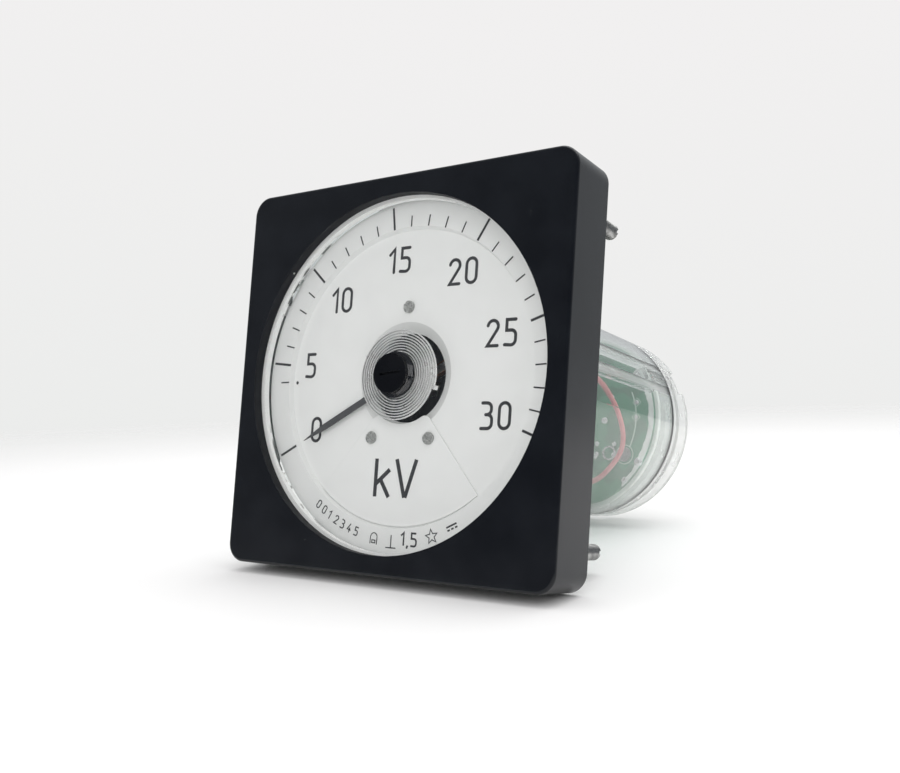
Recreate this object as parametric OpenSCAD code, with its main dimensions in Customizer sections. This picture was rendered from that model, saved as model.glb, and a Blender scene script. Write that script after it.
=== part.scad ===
// Switchboard kilovoltmeter: square front frame, wide-angle dial and a slim clear rear housing.
// Frame: X to the right, Z up, Y to the back. The origin is the middle of the plane that meets the panel.
// Depths are counted from the front face of the frame, so a bigger depth is further back.

/* [Front frame] */
// Outer width and height of the square front frame
bezel_w = 120; // [112:1:144]
// Depth of the front frame from its face to the panel
bezel_depth = 18.4; // [18:0.2:24]
// Corner radius of the front frame
bezel_corner_r = 6; // [4:0.5:9]
// Rounding along the front edge
edge_round = 0.9; // [0.4:0.1:1.5]
// Thickness of the side walls
bezel_wall = 2.4; // [1.6:0.1:2.6]
// Thickness of the front face
face_t = 3.6; // [3.3:0.1:4.5]
// Radius of the round opening in the face
aperture_r = 54; // [48:0.5:54]
// Thickness of the lip in front of the window
lip_t = 2.9; // [2:0.1:3]

/* [Window and zero corrector] */
// Thickness of the clear window
window_t = 2.2; // [1.5:0.1:3]
// Radius of the zero corrector's head
knob_r = 6; // [4:0.5:7]
// How far the corrector stands out of the window
knob_proud = 1.15; // [0.5:0.05:3]
// Running clearance round the corrector
knob_gap = 0.08; // [0.05:0.01:0.1]
// Length of the driver slot in the corrector
knob_slot_l = 7.2; // [4:0.2:8]

/* [Dial] */
// Radius of the dial plate
dial_r = 54; // [48:0.5:54]
// Depth of the raised scale ring
scale_depth = 8.7; // [8.2:0.1:9.5]
// Inner radius of the raised scale ring
scale_inner_r = 46; // [40:0.5:47]
// How much deeper the middle of the dial lies than the scale ring
dial_step = 1.7; // [1:0.1:2]
// Sheet thickness of the dial plate
dial_t = 0.8; // [0.5:0.1:1]
// Radius of the round hole in the middle of the dial
dial_hole_r = 13.7; // [13.5:0.1:15]
// Radius of the circle that the dial screws stand on
dial_screw_circle_r = 21.5; // [20.5:0.5:22.5]

/* [Pointer and scale] */
// Length of the pointer from the spindle to its tip
pointer_l = 42.7; // [36:0.1:44]
// Width of the pointer blade
pointer_w = 2; // [1:0.1:2.5]
// Angle of the zero mark, from straight up and clockwise
scale_zero_a = -118; // [-122:1:-110]
// Angle swept from the zero mark to full scale
scale_sweep_a = 229; // [210:1:232]
// Outer radius of the front hairspring
spring_r = 14.2; // [11.8:0.2:14.4]
// Number of turns in each hairspring
spring_turns = 14; // [8:1:14]

/* [Housing] */
// Outer radius of the rear tube
tube_r = 37; // [34:0.5:40]
// Wall of the rear tube
tube_wall = 2.5; // [2:0.1:3]
// Overall depth from the front face to the rear rim
total_depth = 148; // [128:1:180]

/* [Mounting] */
// Distance between neighbouring fixing studs
stud_pitch = 98; // [96:0.5:99]
// Radius of the fixing studs
stud_r = 2.5; // [2:0.25:3]
// Depth of the studs' rear ends
stud_end_depth = 45; // [34:1:60]
// Distance between the two terminals
terminal_pitch = 26; // [22:1:30]
// Radius of the terminal studs
terminal_r = 2; // [1.5:0.25:2.5]

/* [Hidden] */

$fn = 96;
overlap = 0.01;          // joins shapes of one piece that only meet at a face
fit_gap = 0.1;           // radial gap round a screw or a stud that passes through
seat_gap = 0.02;         // radial gap of a press or a threaded fit
bore_gap = 0.05;         // radial running gap of a bearing

// ---- depths of the stack at the front, from the face backwards
window_back = lip_t + window_t;
window_r = aperture_r + 1.8;
locating_r = window_r + 1.4;
gasket_t = 0.6;
spacer_gap = 1.6;         // dark gap between the spacer ring and the dial
pot_front = window_back + gasket_t;
pot_r = window_r + 0.8;
pot_wall = 1.7;
pot_inner_r = pot_r - pot_wall;
dial_mid_depth = scale_depth + dial_step;
dial_back = dial_mid_depth + dial_t;
funnel_w = 3.2;          // width of the sloping rim round the hole in the dial
funnel_depth = 2;
plate_front = dial_back + 1.8;
plate_t = 1.5;
plate_back = plate_front + plate_t;
floor_front = plate_back;
floor_t = 2;
floor_back = floor_front + floor_t;

// ---- the spring, hub and pointer stack in front of the dial
spring_w = 0.6;
spring_strip = 0.34;
spring_inner_r = 2.8;
spring_mid_depth = scale_depth - 2.1;
pointer_t = 0.4;
pointer_front = scale_depth - 0.2;
hub_r = 2.8;
hub_neck_r = 2;
arm_t = 0.3;
arm_front = pointer_front - 1.05;
arm_back = arm_front + arm_t;
hub_front = arm_front - 0.1;
hub_back = pointer_front + 1.1;
anchor_t = 0.6;
anchor_r = spring_r + spring_strip / 2 + anchor_t / 2 + seat_gap;
anchor_a = 224;          // angle from the pointer to the spring's outer end
tail_angles = [140, 184];
tail_l = 10.8;

// ---- corrector
flange_r = knob_r + 1;
flange_t = 0.7;
knob_front = lip_t - knob_proud;
flange_front = window_back + 0.05;
flange_back = flange_front + flange_t;
stem_r = 1.6;
collet_r = spring_inner_r - spring_strip / 2 - seat_gap;
collet_back = hub_front - 0.4;
seal_r = 0.5;
seal_depth = lip_t + window_t / 2;

// ---- movement
spindle_r = 0.75;
coil_front = floor_back + 2.5;
coil_l = 13;
coil_back = coil_front + coil_l;
coil_in_r = 3.2;
coil_out_r = 15.8;
coil_w = 4;
coil_t = 1;
former_t = 0.4;
bracket_t = 0.6;
bracket_r = 10;
weight_in_r = 7;
weight_l = 7.5;
weight_w = 9;
weight_t = 1.6;
core_in_r = 5.8;
core_out_r = 13.2;
pole_in_r = 16.6;
pole_out_r = 22;
iron_front = coil_front + coil_t + former_t + 1;
iron_back = coil_back - coil_t - former_t - 1;
bridge_t = 2.5;
bridge_back = plate_back + bridge_t;
bridge_a = 15;
bridge_screw_r = 20;
bush_r = 2.5;
bush_back = bridge_back + 0.1;
rear_spring_depth = coil_back + 2.3;
rear_plate_front = coil_back + 4;
rear_plate_t = 2;
rear_plate_back = rear_plate_front + rear_plate_t;
rear_plate_r = 27;
rear_spring_r = 9;
rear_spring_turns = 8;
post_r = 0.6;
post_circle_r = rear_spring_r + spring_strip / 2 + post_r + seat_gap;
pillar_r = 2;
pillar_circle_r = 24.6;
pillar_angles = [60, 180, 300];
pole_screw_r = 19.3;
pole_angles = [0, 120, 240];
spindle_front = hub_front - 0.05;
spindle_back = rear_plate_front + 2.2;
bearing_r = 3;
bearing_front = rear_plate_front - 0.8;
bearing_back = rear_plate_back + 3;
front_screw_circle_r = 42;

// ---- rear end, counted back from the overall depth
rim_front = total_depth - 14.4;
seal_t = 0.3;
tube_end = rim_front - seal_t;
tube_in_r = tube_r - tube_wall;
cap_floor_front = total_depth - 10;
cap_floor_t = 3;
cap_floor_back = cap_floor_front + cap_floor_t;
notch_front = total_depth - 5;
notch_a = 15.5;
cap_wall = 3;
cap_screw_circle_r = tube_in_r - 2.7;
cap_screw_angles = [61, 181, 301];
cap_boss_r = 3.2;
cap_boss_front = tube_end - 17;
spigot_r = tube_in_r - 0.2;
spigot_t = 1.9;
board_front = total_depth - 29;
board_t = 1.6;
board_back = board_front + board_t;
board_r = tube_in_r - 1.5;
ring_t = 2;
ring_back = board_back + ring_t;
ring_r = tube_in_r - 0.3;
board_screw_circle_r = 25.5;
board_screw_angles = [0, 120, 240];
notch_gap_r = cap_boss_r + 0.6;
rib_h = 2;

// ---- small fasteners
m25_r = 1.25;
m3_r = 1.5;
stud_front = 5.2;
stud_boss_r = 5.5;
stud_boss_back = 12;
stud_nut_af = 10;
stud_nut_t = 3.2;
stud_base_r = stud_r + 0.5;
stud_base_end = stud_boss_back + stud_nut_t + 0.8;
ear_front = plate_front;
ear_t = 2;
ear_back = ear_front + ear_t;
ear_r = 3.4;
ear_x = bezel_w / 2 - bezel_wall - ear_r - 1.6;
ear_z = bezel_w / 2 - 24;
ear_spots = [for (sx = [-1, 1], sz = [-1, 1]) [sx * ear_x, sz * ear_z]];
stud_spots = [for (sx = [-1, 1], sz = [-1, 1]) [sx * stud_pitch / 2, sz * stud_pitch / 2]];

// Puts children, drawn with +Z as depth, at a depth behind the front face
module at_depth(depth) {
    translate([0, depth - bezel_depth, 0]) rotate([-90, 0, 0]) children();
}

// Turns children drawn straight above the axis to an angle, clockwise from straight up
module at_angle(a, r = 0) {
    rotate([0, 0, a]) translate([0, -r, 0]) children();
}

module ring(outer_r, inner_r, h) {
    difference() {
        cylinder(r = outer_r, h = h);
        translate([0, 0, -1]) cylinder(r = inner_r, h = h + 2);
    }
}

// Part of a ring between two angles, clockwise from straight up
module ring_sector(inner_r, outer_r, h, a0, a1) {
    rotate([0, 0, a0 - 90]) rotate_extrude(angle = a1 - a0)
        translate([inner_r, 0]) square([outer_r - inner_r, h]);
}

// Slotted screw with its head to the front and its shank to the back
module slotted_screw(head_r, head_h, shank_r, shank_l, slot_w = 0.6) {
    difference() {
        cylinder(r = head_r, h = head_h);
        translate([-head_r - 1, -slot_w / 2, -1]) cube([2 * head_r + 2, slot_w, 1 + head_h * 0.45]);
    }
    translate([0, 0, head_h - overlap]) cylinder(r = shank_r, h = shank_l + overlap);
}

// The same screw driven from the back
module slotted_screw_from_back(head_r, head_h, shank_r, shank_l, slot_w = 0.6) {
    mirror([0, 0, 1]) slotted_screw(head_r, head_h, shank_r, shank_l, slot_w);
}

module hex_nut(af, h, bore_r) {
    difference() {
        cylinder(r = af / 2 / cos(30), h = h, $fn = 6);
        translate([0, 0, -1]) cylinder(r = bore_r, h = h + 2);
    }
}

// ---- front frame

module rounded_square_prism(w, h, r) {
    half = w / 2 - r;
    translate([-w / 2, -half, 0]) cube([w, 2 * half, h]);
    translate([-half, -w / 2, 0]) cube([2 * half, w, h]);
    for (sx = [-1, 1], sy = [-1, 1])
        translate([sx * half, sy * half, 0]) cylinder(r = r, h = h);
}

// Section of the frame's outer border: flat towards the middle, rounded at the front edge
module border_section() {
    difference() {
        square([bezel_corner_r, bezel_depth]);
        translate([bezel_corner_r - edge_round, 0]) difference() {
            translate([0, -1]) square([edge_round + 1, edge_round + 1]);
            translate([0, edge_round]) circle(r = edge_round);
        }
    }
}

module bezel_blank() {
    half = bezel_w / 2 - bezel_corner_r;
    translate([-half, -half, 0]) cube([2 * half, 2 * half, bezel_depth]);
    for (side = [0 : 90 : 270]) rotate([0, 0, side]) {
        translate([half - overlap, half, 0]) rotate([90, 0, 0])
            linear_extrude(2 * half) border_section();
        translate([half, half, 0]) rotate_extrude() border_section();
    }
}

module bezel() {
    color("#1c1e22") at_depth(0) difference() {
        union() {
            difference() {
                bezel_blank();
                translate([0, 0, face_t])
                    rounded_square_prism(bezel_w - 2 * bezel_wall, bezel_depth, bezel_corner_r - bezel_wall);
            }
            cylinder(r = locating_r, h = window_back);
            for (p = stud_spots) translate([p[0], p[1], face_t - overlap])
                cylinder(r = stud_boss_r, h = stud_boss_back - face_t);
            for (p = ear_spots) translate([p[0], p[1], face_t - overlap])
                cylinder(r = ear_r, h = ear_front - face_t);
        }
        translate([0, 0, -1]) cylinder(r = aperture_r, h = bezel_depth);
        translate([0, 0, lip_t]) cylinder(r = window_r + fit_gap, h = bezel_depth);
        for (p = stud_spots) translate([p[0], p[1], stud_front - 0.2])
            cylinder(r = stud_base_r + seat_gap, h = bezel_depth);
        for (p = ear_spots) translate([p[0], p[1], face_t])
            cylinder(r = m3_r + seat_gap, h = bezel_depth);
    }
}

module window() {
    color("#e8eef0", 0.3) at_depth(lip_t) ring(window_r, knob_r + knob_gap, window_t);
}

module window_gasket() {
    color("#2b2b2b") at_depth(window_back) ring(pot_r - 0.2, pot_inner_r + 0.2, gasket_t);
}

module spacer_ring() {
    color("#eceeea") at_depth(window_back) ring(pot_inner_r - 0.1, pot_inner_r - 1.5, scale_depth - window_back - spacer_gap);
}

// ---- dial

module dial_plate() {
    color("#eef0ee") at_depth(0) difference() {
        rotate_extrude() polygon([
            [dial_hole_r, dial_mid_depth + funnel_depth],
            [dial_hole_r + funnel_w, dial_mid_depth],
            [scale_inner_r - 0.6, dial_mid_depth],
            [scale_inner_r, scale_depth],
            [dial_r, scale_depth],
            [dial_r, scale_depth + dial_t],
            [scale_inner_r + 0.6, scale_depth + dial_t],
            [scale_inner_r, dial_back],
            [dial_hole_r + funnel_w + 0.3, dial_back],
            [dial_hole_r + 0.6, dial_back + funnel_depth - 0.4],
            [dial_hole_r, dial_back + funnel_depth - 0.4]
        ]);
        for (a = [0, 150, 210]) at_angle(a, dial_screw_circle_r)
            translate([0, 0, 1]) cylinder(r = m25_r + fit_gap, h = bezel_depth);
    }
}

unit_plate_t = 0.5;
unit_plate_half_a = 40;
unit_plate_in_r = dial_hole_r + 0.6;

module unit_plate() {
    color("#f1f3f1") at_depth(dial_mid_depth - unit_plate_t) difference() {
        ring_sector(unit_plate_in_r, scale_inner_r - 0.8, unit_plate_t,
                    180 - unit_plate_half_a, 180 + unit_plate_half_a);
        for (a = [150, 210]) at_angle(a, dial_screw_circle_r)
            translate([0, 0, -1]) cylinder(r = m25_r + fit_gap, h = unit_plate_t + 2);
    }
}

module dial_screws() {
    head_r = 1.9;
    head_h = 0.6;
    color("#9a9c9e") for (a = [0, 150, 210]) {
        seat = a == 0 ? dial_mid_depth : dial_mid_depth - unit_plate_t;
        at_depth(seat - head_h) at_angle(a, dial_screw_circle_r)
            rotate([0, 0, 40 - a]) slotted_screw(head_r, head_h, m25_r, plate_back - seat);
    }
}

module dial_spacers() {
    color("#b8b9ba") at_depth(dial_back) for (a = [0, 150, 210])
        at_angle(a, dial_screw_circle_r) ring(2.4, m25_r + fit_gap, plate_front - dial_back);
}

// ---- movement frame

module front_plate() {
    color("#a9abad") at_depth(plate_front) difference() {
        ring(front_screw_circle_r + 4, 17, plate_t);
        translate([0, 0, -1]) {
            for (a = [0, 150, 210]) at_angle(a, dial_screw_circle_r)
                cylinder(r = m25_r + seat_gap, h = plate_t + 2);
            for (a = pillar_angles) at_angle(a, front_screw_circle_r)
                cylinder(r = m25_r + fit_gap, h = plate_t + 2);
            for (a = pillar_angles) at_angle(a, pillar_circle_r)
                cylinder(r = m25_r + fit_gap, h = plate_t + 2);
            for (s = [0, 180]) at_angle(bridge_a + s, bridge_screw_r)
                cylinder(r = 1 + seat_gap, h = plate_t + 2);
        }
    }
}

module front_plate_screws() {
    color("#b5b6b8") at_depth(plate_front - 1.3) for (a = pillar_angles)
        at_angle(a, front_screw_circle_r) slotted_screw(2.3, 1.3, m25_r, plate_t + 2.8);
}

module front_bridge() {
    color("#8f9294") at_depth(plate_back) difference() {
        at_angle(bridge_a) union() {
            translate([-4, -bridge_screw_r, 0]) cube([8, 2 * bridge_screw_r, bridge_t]);
            for (s = [-1, 1]) translate([0, s * bridge_screw_r, 0]) cylinder(r = 4, h = bridge_t);
        }
        translate([0, 0, -1]) cylinder(r = bush_r + seat_gap, h = bridge_t + 2);
        for (s = [0, 180]) at_angle(bridge_a + s, bridge_screw_r)
            translate([0, 0, -1]) cylinder(r = 1 + fit_gap, h = bridge_t + 2);
    }
}

module bridge_screws() {
    color("#b5b6b8") at_depth(bridge_back + 1.2) for (s = [0, 180])
        at_angle(bridge_a + s, bridge_screw_r) slotted_screw_from_back(2, 1.2, 1, bridge_t + plate_t, 0.5);
}

module front_bearing() {
    color("#c9a24a") at_depth(plate_back - 0.3) ring(bush_r, spindle_r + bore_gap, bush_back - plate_back + 0.3);
}

module frame_pillars() {
    color("#b8b9ba") at_depth(plate_back) for (a = pillar_angles)
        at_angle(a, pillar_circle_r) ring(pillar_r + 0.5, m25_r + seat_gap, rear_plate_front - plate_back);
}

module frame_screws() {
    color("#b5b6b8") {
        at_depth(plate_front - 1.2) for (a = pillar_angles)
            at_angle(a, pillar_circle_r) slotted_screw(2.2, 1.2, m25_r, plate_t + 6);
        at_depth(rear_plate_back + 1.2) for (a = pillar_angles)
            at_angle(a, pillar_circle_r) slotted_screw_from_back(2.2, 1.2, m25_r, rear_plate_t + 6);
    }
}

module rear_plate() {
    color("#a9abad") at_depth(rear_plate_front) difference() {
        cylinder(r = rear_plate_r, h = rear_plate_t);
        translate([0, 0, -1]) {
            cylinder(r = bearing_r + seat_gap, h = rear_plate_t + 2);
            for (a = pillar_angles) at_angle(a, pillar_circle_r)
                cylinder(r = m25_r + fit_gap, h = rear_plate_t + 2);
            for (a = pole_angles) at_angle(a, pole_screw_r)
                cylinder(r = m25_r + fit_gap, h = rear_plate_t + 2);
            at_angle(90, post_circle_r) cylinder(r = post_r + seat_gap, h = rear_plate_t + 2);
        }
    }
}

module rear_bearing() {
    color("#c9a24a") at_depth(bearing_front) difference() {
        cylinder(r = bearing_r, h = bearing_back - bearing_front);
        translate([0, 0, -1]) cylinder(r = spindle_r + bore_gap, h = spindle_back - bearing_front + 1.3);
        translate([-bearing_r - 1, -0.4, bearing_back - bearing_front - 0.9])
            cube([2 * bearing_r + 2, 0.8, 2]);
    }
}

module bearing_locknut() {
    color("#c9a24a") at_depth(rear_plate_back) hex_nut(9, 1.8, bearing_r + seat_gap);
}

module magnet() {
    color("#55585c") at_depth(iron_front) ring_sector(core_out_r + seat_gap, pole_in_r - seat_gap,
                                                      iron_back - iron_front, -36, 34);
}

module core_ring() {
    color("#4a4d50") at_depth(iron_front) ring_sector(core_in_r, core_out_r, iron_back - iron_front, -36, 304);
}

module pole_ring() {
    color("#4a4d50") at_depth(iron_front - 1) difference() {
        ring(pole_out_r, pole_in_r, iron_back - iron_front + 2);
        for (a = pole_angles) at_angle(a, pole_screw_r) translate([0, 0, 4])
            cylinder(r = m25_r + seat_gap, h = coil_l);
    }
}

module pole_spacers() {
    color("#b8b9ba") at_depth(iron_back + 1) for (a = pole_angles)
        at_angle(a, pole_screw_r) ring(2.4, m25_r + fit_gap, rear_plate_front - iron_back - 1);
}

module pole_screws() {
    reach = rear_plate_t + rear_plate_front - iron_back + 3;
    color("#b5b6b8") at_depth(rear_plate_back + 1.2) for (a = pole_angles)
        at_angle(a, pole_screw_r) slotted_screw_from_back(2.2, 1.2, m25_r, reach);
}

module rear_spring_post() {
    color("#c9a24a") at_depth(rear_spring_depth - spring_w / 2) at_angle(90, post_circle_r)
        cylinder(r = post_r, h = rear_plate_back - rear_spring_depth + 1.5);
}

// ---- hairsprings: flat strip coiled in half turns of growing radius

module hairspring(inner_r, outer_r, turns) {
    pitch = (outer_r - inner_r) / turns;
    translate([0, 0, -spring_w / 2]) for (half = [0 : 2 * turns - 1]) {
        r = inner_r + half * pitch / 2;
        translate([half % 2 == 0 ? 0 : pitch / 2, 0, 0])
            rotate([0, 0, half % 2 == 0 ? 0 : 180]) rotate_extrude(angle = 180, $fn = 72)
                translate([r - spring_strip / 2, 0]) square([spring_strip, spring_w]);
    }
}

module front_spring() {
    color("#c8cacc") at_depth(spring_mid_depth)
        rotate([0, 0, scale_zero_a + anchor_a - 90]) hairspring(spring_inner_r, spring_r, spring_turns);
}

module rear_spring() {
    color("#c8cacc") at_depth(rear_spring_depth)
        hairspring(spring_inner_r, rear_spring_r, rear_spring_turns);
}

// ---- zero corrector

module zero_corrector() {
    color("#15161a") difference() {
        union() {
            at_depth(knob_front) cylinder(r = knob_r, h = flange_back - knob_front);
            at_depth(flange_front) cylinder(r = flange_r, h = flange_t);
            at_depth(flange_back - overlap) cylinder(r = stem_r, h = collet_back - flange_back);
        }
        at_depth(knob_front - 1) rotate([0, 0, -5]) translate([-knob_slot_l / 2, -0.4, 0])
            cube([knob_slot_l, 0.8, 1.8]);
        at_depth(seal_depth) seal_torus(seal_r);
    }
}

module seal_torus(r) {
    rotate_extrude() translate([knob_r + knob_gap / 2 - seal_r, 0]) circle(r = r, $fn = 32);
}

module corrector_seal() {
    color("#2b2b2b") at_depth(seal_depth) seal_torus(seal_r - seat_gap);
}

module front_collet() {
    color("#c9a24a") at_depth(spring_mid_depth - 0.4)
        ring(collet_r, stem_r + seat_gap, collet_back - spring_mid_depth + 0.4);
}

// ---- moving system, drawn at the zero mark

module pointer() {
    color("#4b4e52") at_depth(pointer_front) at_angle(scale_zero_a) difference() {
        union() {
            cylinder(r = hub_r + 1.4, h = pointer_t);
            linear_extrude(pointer_t) polygon([
                [-pointer_w / 2, 0],
                [-pointer_w / 2, -pointer_l + 9.5],
                [0, -pointer_l],
                [pointer_w / 2, -pointer_l + 9.5],
                [pointer_w / 2, 0]
            ]);
            for (a = tail_angles) rotate([0, 0, a]) translate([-0.4, -tail_l, 0]) cube([0.8, tail_l, pointer_t]);
        }
        translate([0, 0, -1]) cylinder(r = hub_r + seat_gap, h = pointer_t + 2);
    }
}

module pointer_hub() {
    color("#c9a24a") difference() {
        union() {
            at_depth(hub_front) cylinder(r = hub_neck_r, h = arm_back - hub_front + overlap);
            at_depth(arm_back) cylinder(r = hub_r, h = hub_back - arm_back);
            at_depth(pointer_front + pointer_t) cylinder(r = hub_r + 0.8, h = hub_back - pointer_front - pointer_t);
        }
        at_depth(hub_front - 1) cylinder(r = spindle_r + seat_gap, h = hub_back);
    }
}

module spring_arm() {
    color("#c7c9cb") at_angle_of_anchor() difference() {
        union() {
            at_depth(arm_front) cylinder(r = hub_neck_r + 1.2, h = arm_t);
            at_depth(arm_front) translate([-0.65, -anchor_r - anchor_t / 2, 0])
                cube([1.3, anchor_r + anchor_t / 2, arm_t]);
            at_depth(spring_mid_depth - spring_w / 2) translate([-0.65, -anchor_r - anchor_t / 2, 0])
                cube([1.3, anchor_t, arm_back - spring_mid_depth + spring_w / 2]);
        }
        at_depth(arm_front - 1) cylinder(r = hub_neck_r + seat_gap, h = arm_t + 2);
    }
}

// Turns a piece of the moving system to the angle of the spring's outer end
module at_angle_of_anchor() {
    rotate([0, scale_zero_a + anchor_a, 0]) children();
}

module counterweights() {
    color("#c9a24a") at_depth(pointer_front + pointer_t / 2) for (a = tail_angles)
        at_angle(scale_zero_a + a) rotate([90, 0, 0]) translate([0, 0, 7.6])
            ring(1.45, 0.5, 2.4);
}

module spindle() {
    color("#b9bbbd") at_depth(spindle_front) cylinder(r = spindle_r, h = spindle_back - spindle_front);
}

// Rectangular frame drawn radially: from inner_r to outer_r, between two depths
module coil_box(inner_r, outer_r, front, back, w, wall) {
    difference() {
        translate([-w / 2, -outer_r, front]) cube([w, outer_r - inner_r, back - front]);
        translate([-w, -outer_r + wall, front + wall])
            cube([2 * w, outer_r - inner_r - 2 * wall, back - front - 2 * wall]);
    }
}

module coil_winding() {
    color("#a8672f") at_depth(0) at_angle(scale_zero_a + 180)
        coil_box(coil_in_r, coil_out_r, coil_front, coil_back, coil_w, coil_t);
}

module coil_former() {
    color("#c7c9cb") at_depth(0) at_angle(scale_zero_a + 180)
        coil_box(coil_in_r + coil_t + seat_gap, coil_out_r - coil_t - seat_gap, coil_front + coil_t + seat_gap,
                 coil_back - coil_t - seat_gap, coil_w, former_t);
}

module coil_brackets() {
    sleeve_r = 1.8;
    sleeve_l = 1.5;
    arm_w = 2.4;
    color("#c7c9cb") at_angle_of_coil() difference() {
        for (front = [coil_front - bracket_t, coil_back]) at_depth(front)
            translate([-arm_w / 2, -bracket_r, 0]) cube([arm_w, bracket_r + weight_in_r + weight_l - 1, bracket_t]);
        at_depth(coil_front - sleeve_l) cylinder(r = sleeve_r, h = sleeve_l);
        at_depth(coil_back) cylinder(r = sleeve_r, h = sleeve_l);
    }
    color("#c7c9cb") for (front = [coil_front - sleeve_l, coil_back]) at_depth(front)
        ring(sleeve_r + overlap, spindle_r + seat_gap, sleeve_l);
}

// Balance weights fixed to the brackets opposite the coil
module balance_weights() {
    color("#c9a24a") at_angle_of_coil() for (front = [coil_front, coil_back - weight_t]) at_depth(front)
        translate([-weight_w / 2, weight_in_r, 0]) cube([weight_w, weight_l, weight_t]);
}

module at_angle_of_coil() {
    rotate([0, scale_zero_a + 180, 0]) children();
}

module rear_collet() {
    color("#c9a24a") at_depth(rear_spring_depth - 0.6) ring(collet_r, spindle_r + seat_gap, 1.2);
}

// ---- clear housing and rear cap

module housing_ribs() {
    for (a = cap_screw_angles) {
        for (rib = [[-6, 1.3], [9, 3.5]]) at_angle(a + rib[0])
            translate([-rib[1] / 2, -tube_in_r - 0.5, floor_back - overlap])
                cube([rib[1], rib_h + 0.5, cap_boss_front - floor_back + 2]);
        at_angle(a, cap_screw_circle_r) translate([0, 0, cap_boss_front])
            cylinder(r = cap_boss_r, h = tube_end - cap_boss_front);
    }
}

module housing() {
    color("#e6efec", 0.35) at_depth(0) difference() {
        union() {
            translate([0, 0, pot_front]) ring(pot_r, pot_inner_r, floor_back - pot_front);
            translate([0, 0, floor_front]) ring(pot_r, tube_in_r, floor_t);
            translate([0, 0, floor_front]) ring(tube_r, tube_in_r, tube_end - floor_front);
            for (p = ear_spots) {
                ear_reach = norm(p);
                translate([p[0], p[1], ear_front]) cylinder(r = ear_r, h = ear_t);
                rotate([0, 0, atan2(p[1], p[0])]) translate([pot_r - 0.8, -2.8, ear_front])
                    cube([ear_reach - pot_r + 0.8, 5.6, ear_t]);
            }
            for (a = pillar_angles) at_angle(a, front_screw_circle_r)
                translate([0, 0, floor_back - overlap]) cylinder(r = 3, h = 1.7);
            housing_ribs();
        }
        for (p = ear_spots) translate([p[0], p[1], ear_front - 1])
            cylinder(r = m3_r + fit_gap, h = ear_t + 2);
        for (a = pillar_angles) at_angle(a, front_screw_circle_r)
            translate([0, 0, floor_front - 1]) cylinder(r = m25_r + seat_gap, h = 4);
        for (a = cap_screw_angles) at_angle(a, cap_screw_circle_r)
            translate([0, 0, tube_end - 11]) cylinder(r = m3_r + seat_gap, h = 12);
    }
}

module housing_screws() {
    color("#b5b6b8") at_depth(ear_back + 1.7) for (p = ear_spots)
        translate([p[0], p[1], 0]) slotted_screw_from_back(2.8, 1.7, m3_r, ear_t + 6, 0.8);
}

module cap_seal() {
    color("#3a3d3f") at_depth(tube_end) difference() {
        ring(tube_r - 0.1, tube_in_r, seal_t);
        for (a = cap_screw_angles) at_angle(a, cap_screw_circle_r)
            translate([0, 0, -1]) cylinder(r = m3_r + fit_gap, h = seal_t + 2);
    }
}

module rear_cap() {
    color("#e2ebe8", 0.35) at_depth(0) difference() {
        union() {
            translate([0, 0, rim_front]) ring(tube_r, tube_r - cap_wall, total_depth - rim_front);
            translate([0, 0, tube_end - 6]) ring(spigot_r, spigot_r - spigot_t, rim_front - tube_end + 8);
            translate([0, 0, cap_floor_front]) cylinder(r = tube_r - 1, h = cap_floor_t);
        }
        for (a = cap_screw_angles) {
            at_angle(a, cap_screw_circle_r) {
                cylinder(r = m3_r + fit_gap, h = total_depth);
                cylinder(r = cap_boss_r + 0.3, h = tube_end + 0.3);
                translate([0, 0, cap_floor_back]) cylinder(r = 3, h = total_depth);
            }
            translate([0, 0, notch_front])
                ring_sector(tube_r - cap_wall - 2, tube_r + 1, total_depth, a - notch_a / 2, a + notch_a / 2);
        }
        for (s = [-1, 1]) translate([s * terminal_pitch / 2, 0, 0])
            cylinder(r = terminal_r + fit_gap, h = total_depth);
    }
}

module cap_screws() {
    color("#b5b6b8") at_depth(cap_floor_back + 1.7) for (a = cap_screw_angles)
        at_angle(a, cap_screw_circle_r)
            slotted_screw_from_back(2.7, 1.7, m3_r, cap_floor_back - tube_end + 9, 0.8);
}

// ---- circuit board at the rear

module board_cutouts(h) {
    for (a = cap_screw_angles) at_angle(a, cap_screw_circle_r)
        translate([0, 0, -1]) cylinder(r = notch_gap_r, h = h + 2);
}

module board_ring() {
    color("#e9ebe7") at_depth(board_back) difference() {
        ring(ring_r, board_r - 3, ring_t);
        board_cutouts(ring_t);
    }
}

module circuit_board() {
    color("#2f6b4f") at_depth(board_front) difference() {
        cylinder(r = board_r, h = board_t);
        board_cutouts(board_t);
        for (a = board_screw_angles) at_angle(a, board_screw_circle_r)
            translate([0, 0, -1]) cylinder(r = m3_r + fit_gap, h = board_t + 2);
    }
}

module board_pillars() {
    color("#b8b9ba") at_depth(board_back) for (a = board_screw_angles)
        at_angle(a, board_screw_circle_r) difference() {
            cylinder(r = 2.6, h = cap_floor_front - board_back);
            translate([0, 0, -1]) cylinder(r = m3_r + seat_gap, h = 9);
        }
}

module board_screws() {
    color("#b5b6b8") at_depth(board_front - 1.5) for (a = board_screw_angles)
        at_angle(a, board_screw_circle_r) rotate([0, 0, 35]) slotted_screw(2.7, 1.5, m3_r, board_t + 6, 0.7);
}

module capacitors() {
    color("#2d4a7a") at_depth(board_back) {
        translate([-8, -15, 0]) cylinder(r = 5, h = 12);
        translate([8, -14, 0]) cylinder(r = 4, h = 11);
    }
}

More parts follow.
